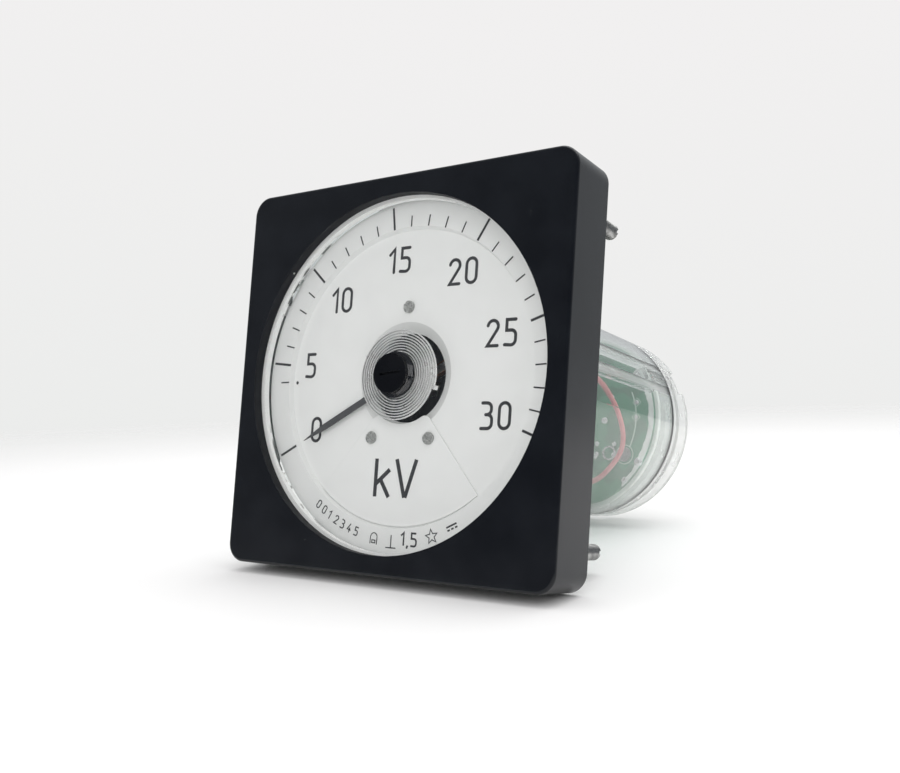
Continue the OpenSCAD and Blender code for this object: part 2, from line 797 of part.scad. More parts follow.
module axial_part(x, z, r, l) {
    lead_r = 0.35;
    rise = r + 0.4;
    translate([x, -z, rise]) rotate([0, 90, 0]) cylinder(r = r, h = l, center = true, $fn = 32);
    for (s = [-1, 1]) {
        translate([x + s * (l / 2 + 0.7), -z, rise]) rotate([0, 90, 0])
            cylinder(r = lead_r, h = 2.2, center = true, $fn = 16);
        translate([x + s * (l / 2 + 1.6), -z, 0]) cylinder(r = lead_r, h = rise + lead_r, $fn = 16);
    }
}

module resistors() {
    color("#b9a47c") at_depth(board_back) for (row = [0 : 3])
        axial_part(0, 5 - 4 * row, 1.2, 6.5);
}

module rectifier() {
    color("#2a2a2c") at_depth(board_back) for (side = [-1, 1], row = [0, 1])
        axial_part(side * 14, -9 - 4 * row, 0.9, 4);
}

module trimmer() {
    color("#2f5fa8") at_depth(board_back) difference() {
        translate([-5, 15, 0]) cube([10, 5, 6]);
        translate([3, 17.5, 5]) cylinder(r = 1.2, h = 2, $fn = 32);
    }
}

// ---- leads between the board and the movement: right, depth, up

red_route = [
    [5, board_front - 0.35, -24], [5.6, board_front - 4, -24.6], [12, board_front - 9, -24.5],
    [18.5, board_front - 12, -22], [23.5, board_front - 14, -18], [26.5, board_front - 14, -13.5],
    [27.5, board_front - 14, -8.5], [26, board_front - 14, -1.5], [22.3, board_front - 15, 6.5],
    [18.2, board_front - 18, 13], [13, board_front - 24, 17], [9, board_front - 34, 18],
    [8, board_front - 48, 17], [8, rear_plate_back + 18, 14], [8, rear_plate_back + 6, 12],
    [8, rear_plate_back + 0.4, 11.5]
];
black_route = [
    [-9, board_front - 0.35, -20], [-9.6, board_front - 4, -20], [-14, board_front - 10, -18],
    [-17, board_front - 20, -12], [-17, board_front - 34, -6], [-15, board_front - 48, -3],
    [-12, rear_plate_back + 18, -4], [-9, rear_plate_back + 6, -7], [-8, rear_plate_back + 0.4, -9]
];
lead_r = 0.95;
lead_sides = 8;

// One point of a smooth curve through p1 and p2
function blend_point(p0, p1, p2, p3, t) =
    0.5 * (2 * p1 + (p2 - p0) * t + (2 * p0 - 5 * p1 + 4 * p2 - p3) * t * t
           + (3 * p1 - p0 - 3 * p2 + p3) * t * t * t);
function smooth_route(p, steps) = [
    for (i = [0 : len(p) - 2], k = [0 : steps - 1])
        blend_point(p[max(i - 1, 0)], p[i], p[i + 1], p[min(i + 2, len(p) - 1)], k / steps),
    p[len(p) - 1]
];
function unit(v) = v / norm(v);
function tangent(p, i) = unit(p[min(i + 1, len(p) - 1)] - p[max(i - 1, 0)]);

module lead(route) {
    p = [for (q = smooth_route(route, 3)) [q[0], q[1] - bezel_depth, q[2]]];
    points = [
        for (i = [0 : len(p) - 1])
            let (t = tangent(p, i), u = unit(cross(t, [0.83, 0.1, 0.55])), v = cross(t, u))
            for (k = [0 : lead_sides - 1])
                p[i] + lead_r * (cos(360 * k / lead_sides) * u + sin(360 * k / lead_sides) * v)
    ];
    last = (len(p) - 1) * lead_sides;
    sides = [
        for (i = [0 : len(p) - 2], k = [0 : lead_sides - 1])
            let (a = i * lead_sides + k, b = i * lead_sides + (k + 1) % lead_sides)
            [a, a + lead_sides, b + lead_sides, b]
    ];
    start_cap = [for (k = [0 : lead_sides - 1]) k];
    end_cap = [for (k = [lead_sides - 1 : -1 : 0]) last + k];
    polyhedron(points, concat(sides, [start_cap], [end_cap]), convexity = 8);
}

module red_lead() {
    color("#c4626b") lead(red_route);
}

module black_lead() {
    color("#26282b") lead(black_route);
}

// ---- terminals and fixings

module terminals() {
    color("#c9a24a") at_depth(board_back) for (s = [-1, 1])
        translate([s * terminal_pitch / 2, 0, 0]) {
            cylinder(r = terminal_r, h = total_depth - 1 - board_back);
            translate([0, 0, cap_floor_front - board_back - 2.5]) cylinder(r = 4, h = 2.5, $fn = 6);
        }
}

module terminal_washers() {
    color("#c3c5c7") at_depth(cap_floor_back) for (s = [-1, 1])
        translate([s * terminal_pitch / 2, 0, 0]) ring(4.5, terminal_r + fit_gap, 0.8);
}

module terminal_nuts() {
    color("#c9a24a") at_depth(cap_floor_back + 0.8) for (s = [-1, 1])
        translate([s * terminal_pitch / 2, 0, 0]) hex_nut(7, 3.2, terminal_r + seat_gap);
}

module fixing_studs() {
    color("#a3a5a8") at_depth(stud_front) for (p = stud_spots) translate([p[0], p[1], 0]) difference() {
        union() {
            cylinder(r = stud_base_r, h = stud_base_end - stud_front);
            cylinder(r = stud_r, h = stud_end_depth - stud_front);
        }
        translate([-stud_r - 1, -0.5, stud_end_depth - stud_front - 1.6]) cube([2 * stud_r + 2, 1, 2]);
    }
}

module stud_nuts() {
    color("#b5b6b8") at_depth(stud_boss_back) for (p = stud_spots)
        translate([p[0], p[1], 0]) hex_nut(stud_nut_af, stud_nut_t, stud_base_r + seat_gap);
}

bezel();
window();
window_gasket();
spacer_ring();
dial_plate();
unit_plate();
dial_screws();
dial_spacers();
front_plate();
front_plate_screws();
front_bridge();
bridge_screws();
front_bearing();
frame_pillars();
frame_screws();
rear_plate();
rear_bearing();
bearing_locknut();
magnet();
core_ring();
pole_ring();
pole_spacers();
pole_screws();
rear_spring_post();
front_spring();
rear_spring();
housing();
housing_screws();
cap_seal();
rear_cap();
cap_screws();
board_ring();
circuit_board();
board_pillars();
board_screws();
capacitors();
resistors();
rectifier();
trimmer();
red_lead();
black_lead();
terminals();
terminal_washers();
terminal_nuts();
fixing_studs();
stud_nuts();
zero_corrector();
corrector_seal();
front_collet();
pointer();
pointer_hub();
spring_arm();
counterweights();
spindle();
coil_winding();
coil_former();
coil_brackets();
balance_weights();
rear_collet();
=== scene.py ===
import math
import random

import bmesh
import bpy
from mathutils import Matrix, Vector


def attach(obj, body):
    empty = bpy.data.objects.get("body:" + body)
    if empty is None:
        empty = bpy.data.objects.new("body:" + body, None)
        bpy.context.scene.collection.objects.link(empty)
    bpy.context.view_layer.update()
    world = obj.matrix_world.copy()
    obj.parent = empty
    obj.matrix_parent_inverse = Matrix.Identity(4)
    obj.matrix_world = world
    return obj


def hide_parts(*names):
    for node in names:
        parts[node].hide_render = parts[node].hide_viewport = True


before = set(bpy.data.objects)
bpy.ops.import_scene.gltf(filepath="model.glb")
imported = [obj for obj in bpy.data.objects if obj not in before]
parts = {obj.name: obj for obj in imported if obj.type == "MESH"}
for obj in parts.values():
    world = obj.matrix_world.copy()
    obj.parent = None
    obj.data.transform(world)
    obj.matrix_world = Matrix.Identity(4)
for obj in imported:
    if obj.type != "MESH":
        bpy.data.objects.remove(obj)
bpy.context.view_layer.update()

# ---- Front frame
# The square frame is one moulding in black thermoset plastic, satin, with a fine mould grain and a little
# dust. It holds the window from behind, and the four fixing studs are screwed into its corner bosses.
MM = 0.001
FACE_DEPTH = 18.4  # from the front face back to the panel plane


def place(across, depth, up):
    """A point given across, back from the front face, and up, in mm."""
    return Vector((across * MM, (depth - FACE_DEPTH) * MM, up * MM))


def join(tree, value, socket):
    """Links an output to a socket, or sets the socket's own value."""
    if isinstance(value, bpy.types.NodeSocket):
        tree.links.new(value, socket)
    else:
        socket.default_value = value


def wire(tree, kind, sockets=None, **settings):
    """Adds a node with its settings, then fills its sockets."""
    step = tree.nodes.new(kind)
    for name, value in settings.items():
        setattr(step, name, value)
    for name, value in (sockets or {}).items():
        join(tree, value, step.inputs[name])
    return step


def effect(name, takes, gives):
    """A node group for one surface effect. takes maps its inputs to their usual values."""
    group = bpy.data.node_groups.new(name, "ShaderNodeTree")
    for label, value in takes.items():
        group.interface.new_socket(
            label, in_out="INPUT", socket_type="NodeSocketFloat"
        ).default_value = value
    for label, kind in gives.items():
        group.interface.new_socket(label, in_out="OUTPUT", socket_type="NodeSocket" + kind)
    return group, group.nodes.new("NodeGroupInput").outputs, group.nodes.new("NodeGroupOutput").inputs


def spread(tree, mask, low, high, start=0.0, end=1.0):
    """Turns a mask into a number between low and high."""
    sockets = {"Value": mask, "From Min": start, "From Max": end, "To Min": low, "To Max": high}
    return wire(tree, "ShaderNodeMapRange", sockets).outputs[0]


def sums(tree, operation, *values):
    """One arithmetic step on masks or numbers."""
    return wire(
        tree, "ShaderNodeMath", dict(enumerate(values)), operation=operation, use_clamp=False
    ).outputs[0]


def tint(tree, mask, first, second):
    """A colour that goes from first to second by a mask."""
    mixer = wire(tree, "ShaderNodeMix", data_type="RGBA")
    for index, value in ((0, mask), (6, first), (7, second)):
        join(tree, value if not isinstance(value, tuple) else (*value[:3], 1.0), mixer.inputs[index])
    return mixer.outputs[2]


def relief(tree, height, depth, under=None):
    """A normal raised by a height mask, depth in metres."""
    bump = wire(tree, "ShaderNodeBump", {"Height": height, "Strength": 1.0, "Distance": depth})
    if under is not None:
        tree.links.new(under, bump.inputs["Normal"])
    return bump.outputs["Normal"]


def new_finish(name):
    """An empty material with one Principled shader."""
    finish = bpy.data.materials.new(name)
    finish.use_nodes = True
    tree = finish.node_tree
    tree.nodes.clear()
    shader = tree.nodes.new("ShaderNodeBsdfPrincipled")
    tree.links.new(shader.outputs[0], tree.nodes.new("ShaderNodeOutputMaterial").inputs[0])
    return finish, tree, shader


def dress(finish, *names):
    """Gives CAD nodes their finish."""
    for name in names:
        parts[name].material_slots[0].material = finish


# Grain left by the mould, and slow clouds in the colour
mould_grain, takes, gives = effect(
    "mould_grain", {"Grains per Metre": 5000.0, "Clouds per Metre": 90.0},
    {"Grain": "Float", "Clouds": "Float"}
)
skin = wire(mould_grain, "ShaderNodeTexCoord").outputs["Object"]
fine = wire(mould_grain, "ShaderNodeTexNoise", {"Vector": skin, "Scale": takes[0], "Detail": 3.0})
slow = wire(mould_grain, "ShaderNodeTexNoise", {"Vector": skin, "Scale": takes[1], "Detail": 4.0})
mould_grain.links.new(fine.outputs["Fac"], gives[0])
mould_grain.links.new(slow.outputs["Fac"], gives[1])

# Specks of dust: small spots in some cells only
dust_specks, takes, gives = effect(
    "dust_specks", {"Specks per Metre": 260.0, "Share": 0.3, "Speck Size": 0.12}, {"Specks": "Float"}
)
skin = wire(dust_specks, "ShaderNodeTexCoord").outputs["Object"]
cells = wire(dust_specks, "ShaderNodeTexVoronoi", {"Vector": skin, "Scale": takes[0], "Randomness": 1.0})
dice = wire(dust_specks, "ShaderNodeSeparateColor", {0: cells.outputs["Color"]})
chosen = sums(dust_specks, "LESS_THAN", dice.outputs[0], takes[1])
reach = sums(dust_specks, "MULTIPLY", dice.outputs[1], takes[2])
spot = sums(dust_specks, "LESS_THAN", cells.outputs["Distance"], reach)
dust_specks.links.new(sums(dust_specks, "MULTIPLY", chosen, spot), gives[0])

# Rounded edges, and a mask of where hands and tools rub them
rubbed_edges, takes, gives = effect(
    "rubbed_edges", {"Radius": 0.0002, "Wear": 0.5}, {"Edge": "Float", "Normal": "Vector"}
)
soft = wire(rubbed_edges, "ShaderNodeBevel", {"Radius": takes[0]}, samples=4).outputs[0]
true = wire(rubbed_edges, "ShaderNodeNewGeometry").outputs["Normal"]
facing = wire(
    rubbed_edges, "ShaderNodeVectorMath", {0: soft, 1: true}, operation="DOT_PRODUCT"
).outputs["Value"]
skin = wire(rubbed_edges, "ShaderNodeTexCoord").outputs["Object"]
chips = wire(
    rubbed_edges, "ShaderNodeTexNoise", {"Vector": skin, "Scale": 900.0, "Detail": 4.0}
).outputs["Fac"]
edge = spread(rubbed_edges, facing, 1.0, 0.0, 0.7, 0.995)
worn = sums(rubbed_edges, "MULTIPLY", edge, spread(rubbed_edges, chips, 0.0, 1.0, 0.4, 0.6))
rubbed_edges.links.new(sums(rubbed_edges, "MULTIPLY", worn, takes[1]), gives[0])
rubbed_edges.links.new(soft, gives[1])


def moulded(
    name, dark, light, rough, grain=5000.0, depth=4e-6, dust=0.0, wear=0.3, dust_colour=(0.5, 0.5, 0.48)
):
    """Opaque moulded plastic with grain, clouds of colour, dust and rubbed edges."""
    finish, tree, shader = new_finish(name)
    skin = wire(tree, "ShaderNodeGroup", {"Grains per Metre": grain}, node_tree=mould_grain).outputs
    specks = wire(tree, "ShaderNodeGroup", {"Share": dust}, node_tree=dust_specks).outputs[0]
    edges = wire(tree, "ShaderNodeGroup", {"Wear": wear}, node_tree=rubbed_edges).outputs
    clouds = spread(tree, skin["Clouds"], 0.0, 1.0, 0.35, 0.65)
    colour = tint(tree, clouds, dark, light)
    colour = tint(tree, edges["Edge"], colour, tuple(min(1.0, 2.5 * c + 0.02) for c in light))
    tree.links.new(tint(tree, specks, colour, dust_colour), shader.inputs["Base Color"])
    gloss = spread(tree, clouds, rough[0], rough[1])
    tree.links.new(
        sums(tree, "MAXIMUM", gloss, sums(tree, "MULTIPLY", specks, 0.8)), shader.inputs["Roughness"]
    )
    tree.links.new(relief(tree, skin["Grain"], depth, edges["Normal"]), shader.inputs["Normal"])
    return finish


black_moulding = moulded(
    "black_moulding", (0.0038, 0.0048, 0.0072), (0.0060, 0.0074, 0.0105), (0.23, 0.27), dust=0.05, wear=0.25
)
tree = black_moulding.node_tree
shader = tree.nodes["Principled BSDF"]
shader.inputs["Specular IOR Level"].default_value = 0.33
# The wall of the round opening is left duller by the mould's core
split = wire(tree, "ShaderNodeSeparateXYZ", {0: wire(tree, "ShaderNodeTexCoord").outputs["Object"]}).outputs
middle = wire(tree, "ShaderNodeCombineXYZ", {0: split[0], 2: split[2]}).outputs[0]
from_axis = wire(tree, "ShaderNodeVectorMath", {0: middle}, operation="LENGTH").outputs["Value"]
dull_wall = sums(tree, "MULTIPLY", sums(tree, "LESS_THAN", from_axis, 0.05415), 0.55)
tree.links.new(
    sums(tree, "MAXIMUM", shader.inputs["Roughness"].links[0].from_socket, dull_wall),
    shader.inputs["Roughness"],
)
dress(black_moulding, "bezel")

# ---- Window and its seat
# The window is a clear acrylic disc pressed against the lip of the frame by a rubber gasket and the pot of
# the housing. It has faint wiping marks and hardly any tint.

# Slow waves and flow lines that a clear moulding has from cooling
flow_marks, takes, gives = effect(
    "flow_marks", {"Waves per Metre": 60.0, "Stretch": 1.0}, {"Waves": "Float", "Smears": "Float"}
)
skin = wire(flow_marks, "ShaderNodeTexCoord").outputs["Object"]
split = wire(flow_marks, "ShaderNodeSeparateXYZ", {0: skin}).outputs
along = sums(flow_marks, "DIVIDE", split[1], takes[1])
flow = wire(flow_marks, "ShaderNodeCombineXYZ", {0: split[0], 1: along, 2: split[2]}).outputs[0]
waves = wire(
    flow_marks, "ShaderNodeTexNoise", {"Vector": flow, "Scale": takes[0], "Detail": 1.0}
).outputs["Fac"]
smears = wire(
    flow_marks, "ShaderNodeTexNoise", {"Vector": skin, "Scale": 140.0, "Detail": 6.0}
).outputs["Fac"]
flow_marks.links.new(waves, gives[0])
flow_marks.links.new(spread(flow_marks, smears, 0.0, 1.0, 0.45, 0.75), gives[1])


def clear_moulding(name, tinted, passing, rough, depth, waves=60.0, stretch=1.0, index=1.49, clarity=1.0):
    """Clear plastic. Light for shading passes straight through it, so what lies inside is lit."""
    finish, tree, shader = new_finish(name)
    marks = wire(
        tree, "ShaderNodeGroup", {"Waves per Metre": waves, "Stretch": stretch}, node_tree=flow_marks
    ).outputs
    colour = tint(tree, marks["Smears"], tinted, tuple(0.97 * c for c in tinted))
    tree.links.new(colour, shader.inputs["Base Color"])
    tree.links.new(spread(tree, marks["Smears"], rough[0], rough[1]), shader.inputs["Roughness"])
    tree.links.new(relief(tree, marks["Waves"], depth), shader.inputs["Normal"])
    shader.inputs["Transmission Weight"].default_value = clarity
    shader.inputs["IOR"].default_value = index
    path = wire(tree, "ShaderNodeLightPath").outputs
    through = wire(tree, "ShaderNodeBsdfTransparent", {"Color": (*passing, 1.0)}).outputs[0]
    shown = shader.outputs[0]
    for ray in ("Is Shadow Ray", "Is Diffuse Ray"):
        shown = wire(tree, "ShaderNodeMixShader", {0: path[ray], 1: shown, 2: through}).outputs[0]
    tree.links.new(shown, tree.nodes["Material Output"].inputs[0])
    return finish


window_clear = clear_moulding(
    "window_clear", (0.99, 0.99, 0.99), (0.97, 0.97, 0.97), (0.0, 0.015), 2e-6, 25.0
)
dress(window_clear, "window")

seal_rubber = moulded(
    "seal_rubber", (0.012, 0.012, 0.012), (0.03, 0.03, 0.03), (0.5, 0.7), grain=3000.0, dust=0.1
)
dress(seal_rubber, "window_gasket", "corrector_seal", "cap_seal")

# The spacer ring is white polystyrene. Along its back edge, at the upper and the lower left of the dial, its
# white is darkened in uneven blots: a painted reflection of the dark parts that the clear window mirrors there.
spacer_finish, tree, shader = new_finish("spacer_white")
skin = wire(tree, "ShaderNodeTexCoord").outputs["Object"]
split = wire(tree, "ShaderNodeSeparateXYZ", {0: skin}).outputs
spacer_noise = wire(tree, "ShaderNodeTexNoise", {"Vector": skin, "Scale": 230.0, "Detail": 5.0}).outputs["Fac"]
reflection_blots = spread(tree, spacer_noise, 0.0, 1.0, 0.47, 0.53)
left_side = spread(tree, split[0], 1.0, 0.0, -0.040, -0.022)
off_middle = spread(
    tree, sums(tree, "ABSOLUTE", sums(tree, "ADD", split[2], -0.002)), 0.0, 1.0, 0.016, 0.024
)
behind = spread(tree, split[1], 0.0, 1.0, (6.2 - FACE_DEPTH) * MM, (6.6 - FACE_DEPTH) * MM)
painted_reflection = sums(
    tree, "MULTIPLY", sums(tree, "MULTIPLY", left_side, off_middle), sums(tree, "MULTIPLY", reflection_blots, behind)
)
# Painted reflection: this mask turns the ring's white nearly black in blots on its back edge
tree.links.new(tint(tree, painted_reflection, (0.93, 0.94, 0.93), (0.10, 0.105, 0.10)), shader.inputs["Base Color"])
tree.links.new(spread(tree, spacer_noise, 0.15, 0.35), shader.inputs["Roughness"])
tree.links.new(relief(tree, spacer_noise, 6e-5), shader.inputs["Normal"])
dress(spacer_finish, "spacer_ring")

# ---- Dial
# The dial is pressed from aluminium sheet with a raised scale ring and a dished hole, and sprayed matt
# white. Marks and numbers are screen printed in dark grey ink, just proud of the paint.
dial_paint, tree, shader = new_finish("dial_paint")
skin = wire(
    tree, "ShaderNodeGroup", {"Grains per Metre": 3500.0, "Clouds per Metre": 45.0}, node_tree=mould_grain
)
specks = wire(
    tree, "ShaderNodeGroup", {"Share": 0.03, "Specks per Metre": 400.0, "Speck Size": 0.1},
    node_tree=dust_specks
).outputs[0]
paint = tint(tree, skin.outputs["Clouds"], (0.765, 0.780, 0.765), (0.805, 0.815, 0.808))
tree.links.new(tint(tree, specks, paint, (0.55, 0.56, 0.54)), shader.inputs["Base Color"])
tree.links.new(spread(tree, skin.outputs["Grain"], 0.45, 0.6), shader.inputs["Roughness"])
tree.links.new(relief(tree, skin.outputs["Grain"], 6e-6), shader.inputs["Normal"])
dress(dial_paint, "dial_plate")

RING_DEPTH = 8.7  # face of the raised scale ring
DISC_DEPTH = 10.4  # face of the dial's middle
INK_T = 0.03
ink, tree, shader = new_finish("screen_ink")
skin = wire(
    tree, "ShaderNodeGroup", {"Grains per Metre": 9000.0, "Clouds per Metre": 300.0},
    node_tree=mould_grain,
)
tree.links.new(
    tint(tree, skin.outputs["Clouds"], (0.022, 0.023, 0.025), (0.042, 0.043, 0.046)),
    shader.inputs["Base Color"],
)
tree.links.new(spread(tree, skin.outputs["Grain"], 0.4, 0.6), shader.inputs["Roughness"])
tree.links.new(relief(tree, skin.outputs["Grain"], 4e-6), shader.inputs["Normal"])


def make_piece(name, mesh_maker, finish, body, smooth=False):
    """Turns a bmesh into a piece with its finish and body."""
    mesh = bpy.data.meshes.new(name)
    bmesh.ops.recalc_face_normals(mesh_maker, faces=mesh_maker.faces)
    mesh_maker.to_mesh(mesh)
    mesh_maker.free()
    piece = bpy.data.objects.new(name, mesh)
    bpy.context.scene.collection.objects.link(piece)
    mesh.materials.append(finish)
    if smooth:
        for face in mesh.polygons:
            face.use_smooth = True
        mesh.set_sharp_from_angle(angle=math.radians(35))
    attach(piece, body)
    return piece


def slab(bm, outline, front, back):
    """A closed flat piece from an outline of (across, up) points, between two depths."""
    near = [bm.verts.new(place(x, front, z)) for x, z in outline]
    far = [bm.verts.new(place(x, back, z)) for x, z in outline]
    bm.faces.new(near)
    bm.faces.new(far[::-1])
    for i in range(len(outline)):
        j = (i + 1) % len(outline)
        bm.faces.new((near[i], far[i], far[j], near[j]))


def strip(bm, path, width, front, back, closed=False, round_ends=True):
    """A printed stroke of constant width along a path of (across, up) points."""
    points = [Vector(p) for p in path]
    count = len(points)
    sides = ([], [])
    for i, here in enumerate(points):
        before = points[i - 1] if closed or i > 0 else here
        after = points[(i + 1) % count] if closed or i < count - 1 else here
        steps = [(b - a).normalized() for a, b in ((before, here), (here, after)) if (b - a).length > 1e-9]
        across = sum((Vector((-s.y, s.x)) for s in steps), Vector((0.0, 0.0))).normalized()
        stretch = min(2.0, 1.0 / max(0.35, across.dot(Vector((-steps[0].y, steps[0].x)))))
        sides[0].append(here + across * width / 2 * stretch)
        sides[1].append(here - across * width / 2 * stretch)
    if closed:
        near = [[bm.verts.new(place(p.x, front, p.y)) for p in side] for side in sides]
        far = [[bm.verts.new(place(p.x, back, p.y)) for p in side] for side in sides]
        for i in range(count):
            j = (i + 1) % count
            bm.faces.new((near[0][i], near[0][j], near[1][j], near[1][i]))
            bm.faces.new((far[0][i], far[1][i], far[1][j], far[0][j]))
            for k in (0, 1):
                bm.faces.new((near[k][i], far[k][i], far[k][j], near[k][j]))
        return
    caps = []
    for end, inner in ((points[-1], points[-2]), (points[0], points[1])):
        heading = (end - inner).normalized()
        side = Vector((-heading.y, heading.x))
        turns = [math.radians(t) for t in range(20, 180, 20)] if round_ends else []
        caps.append([end + width / 2 * (side * math.cos(t) + heading * math.sin(t)) for t in turns])
    outline = sides[0] + caps[0] + sides[1][::-1] + caps[1]
    slab(bm, [(p.x, p.y) for p in outline], front, back)


def bow(cx, cy, rx, ry, start, end, steps=8):
    """Points of an arc in degrees, 0 to the right and anticlockwise."""
    turns = [math.radians(start + (end - start) * i / steps) for i in range(steps + 1)]
    return [(cx + rx * math.cos(t), cy + ry * math.sin(t)) for t in turns]


def digit_strokes(digit, w, h):
    """Centre lines of a digit inside a box w wide and h high: a list of (path, closed)."""
    r = 0.42 * w
    if digit == "0":
        return [(bow(w / 2, h - w / 2, w / 2, w / 2, 0, 180) + bow(w / 2, w / 2, w / 2, w / 2, 180, 360), True)]
    if digit == "1":
        return [([(0.0, 0.76 * h), (0.5 * w, h), (0.5 * w, 0.0)], False)]
    if digit == "2":
        top = bow(w / 2, h - w / 2, w / 2, w / 2, 170, -35, 12)
        return [(top + [(0.02 * w, 0.0), (w, 0.0)], False)]
    if digit == "3":
        upper = [(0.05 * w, h)] + bow(0.92 * w - r, h - r, r, r, 90, 0) + bow(
            0.92 * w - r, 0.54 * h + r, r, r, 0, -90
        )
        lower = [(0.4 * w, 0.54 * h)] + bow(w - r, 0.54 * h - r, r, r, 90, 0) + bow(w - r, r, r, r, 0, -90)
        return [(upper + [(0.4 * w, 0.54 * h)], False), (lower + [(0.0, 0.0)], False)]
    if digit == "4":
        return [
            ([(0.6 * w, h), (0.0, 0.3 * h), (w, 0.3 * h)], False),
            ([(0.7 * w, 0.5 * h), (0.7 * w, 0.0)], False),
        ]
    bowl = bow(w - r, 0.58 * h - r, r, r, 90, 0) + bow(w - r, r, r, r, 0, -90)
    return [([(0.95 * w, h), (0.12 * w, h), (0.12 * w, 0.58 * h)] + bowl + [(0.0, 0.02 * h)], False)]


def print_strokes(bm, strokes, origin, pen, depth, turn=0.0, round_ends=True):
    """Prints strokes at a place on the dial, turned clockwise by an angle."""
    c, s = math.cos(math.radians(turn)), math.sin(math.radians(turn))
    for level, (path, closed) in enumerate(strokes):
        moved = [(origin[0] + c * x + s * y, origin[1] - s * x + c * y) for x, y in path]
        front = depth - INK_T - 0.002 * level
        strip(bm, moved, pen, front, depth - 0.004, closed, round_ends)


def shifted(strokes, dx, dy):
    return [([(x + dx, y + dy) for x, y in path], closed) for path, closed in strokes]


def number_strokes(text, w, h, gap):
    """A whole number, centred on the origin."""
    widths = [0.5 * w if c == "1" else w for c in text]
    at = -(sum(widths) + gap * (len(text) - 1)) / 2
    strokes = []
    for c, width in zip(text, widths):
        strokes += shifted(digit_strokes(c, w, h), at, -h / 2)
        at += width + gap
    return strokes


def scale_angle(value):
    """Angle of a value, clockwise from straight up. The scale is crowded at its lower end."""
    share = value / 30.0
    return -118.0 + 228.7 * (share - 0.155 * share * (1.0 - share) ** 2)


def around(angle, radius):
    return radius * math.sin(math.radians(angle)), radius * math.cos(math.radians(angle))


MARK_START_R, MAJOR_END_R, MINOR_END_R = 46.05, 53.2, 49.5
marks = bmesh.new()
for value in range(31):
    major = value % 5 == 0
    if not major and value < 4:
        continue
    reach, pen = (MAJOR_END_R, 0.76) if major else (MINOR_END_R, 0.46)
    turn = scale_angle(value)
    ends = [around(turn, MARK_START_R), around(turn, reach)]
    strip(marks, ends, pen, RING_DEPTH - INK_T, RING_DEPTH - 0.004, round_ends=False)

SERIAL = "0012345"
for place_in_row, digit in enumerate(SERIAL):
    turn = 216.0 - 20.4 * place_in_row / (len(SERIAL) - 1)
    print_strokes(
        marks, shifted(digit_strokes(digit, 1.25, 2.55), -0.6, -1.3), around(turn, 49.3), 0.38,
        RING_DEPTH, turn - 180.0,
    )

# Plain symbols: moving coil, upright use, accuracy class, test voltage and direct current
coil_symbol = [(bow(0, 0.2, 1.25, 1.3, 180, 0), False), ([(-1.25, 0.2), (-1.25, -1.9)], False)]
coil_symbol += [
    ([(1.25, 0.2), (1.25, -1.9)], False), ([(-0.6, -0.7), (0.6, -0.7), (0.6, -1.5), (-0.6, -1.5)], True)
]
print_strokes(marks, coil_symbol, around(187.2, 49.4), 0.32, RING_DEPTH, 4.0, False)
print_strokes(
    marks, [([(-1.9, -1.9), (1.9, -1.9)], False), ([(0, -1.75), (0, 1.9)], False)], around(179.6, 49.7),
    0.36, RING_DEPTH, 0.0, False,
)
print_strokes(
    marks, shifted(digit_strokes("1", 2.0, 3.8), -2.9, -1.9), around(171.9, 49.2), 0.58, RING_DEPTH, 0.0,
    False,
)
print_strokes(
    marks, [([(-0.35, -1.75), (-0.7, -2.7)], False)], around(171.9, 49.2), 0.6, RING_DEPTH, 0.0, False
)
print_strokes(
    marks, shifted(digit_strokes("5", 2.0, 3.8), 0.7, -1.9), around(171.9, 49.2), 0.58, RING_DEPTH, 0.0,
    False,
)
star = [around(36.0 * k, 2.15 if k % 2 == 0 else 0.95) for k in range(10)]
print_strokes(marks, [(star, True)], around(162.4, 49.6), 0.34, RING_DEPTH, -14.0, False)
dashes = [([(x - 0.45, -0.55), (x + 0.45, -0.55)], False) for x in (-1.4, 0.0, 1.4)]
print_strokes(
    marks, [([(-1.9, 0.45), (1.9, 0.45)], False)] + dashes, around(153.6, 49.2), 0.52, RING_DEPTH, -26.0,
    False,
)
make_piece("scale_marks", marks, ink, "meter_body")

numbers = bmesh.new()
NUMBER_PLACES = {
    "0": (-34.1, -16.2), "5": (-38.5, 4.7), "10": (-27.2, 25.5), "15": (-5.0, 36.5),
    "20": (18.8, 31.0), "25": (33.4, 11.9), "30": (33.1, -11.9),
}
for text, spot in NUMBER_PLACES.items():
    print_strokes(numbers, number_strokes(text, 3.5, 7.35, 2.4), spot, 0.98, DISC_DEPTH)
dot = [(0.0, 0.06), (0.0, -0.06)]
print_strokes(numbers, [(dot, False)], (-43.9, -0.8), 1.05, DISC_DEPTH)
make_piece("scale_numbers", numbers, ink, "meter_body")

# ---- Unit plate
# The unit plate is a loose sector of the same painted sheet, held by the two lower dial screws, so one
# dial serves several meters. Its inner corners are rounded and its edge shows as a fine grey line.
UNIT_FRONT = 9.9
UNIT_HALF = 40  # half the sector's angle at its outer edge
UNIT_INNER_HALF = 28  # half the inner arc's angle, between the fillets
plate_outline = []
inner_r, outer_r, corner = 14.3, 45.2, 2.4
for turn in range(-UNIT_HALF, UNIT_HALF + 1, 2):
    plate_outline.append(around(180 - turn, outer_r))
side_cut = math.degrees(corner / (inner_r + corner))
for end in (-1, 1):
    middle = around(180 + end * (UNIT_HALF - side_cut), inner_r + corner)
    fillet = []
    for k in range(9):
        swing = 180 + end * (UNIT_HALF - side_cut) + end * (90 + 90 * k / 8.0)
        x, z = around(swing, corner)
        fillet.append((middle[0] + x, middle[1] + z))
    plate_outline += fillet if end == -1 else fillet[::-1]
    if end == -1:
        for turn in range(-UNIT_INNER_HALF, UNIT_INNER_HALF + 1, 4):
            plate_outline.append(around(180 + turn, inner_r))
unit_bm = bmesh.new()
slab(unit_bm, plate_outline, UNIT_FRONT, DISC_DEPTH - 0.01)
unit_sheet = make_piece("unit_sheet", unit_bm, dial_paint, "meter_body", smooth=True)
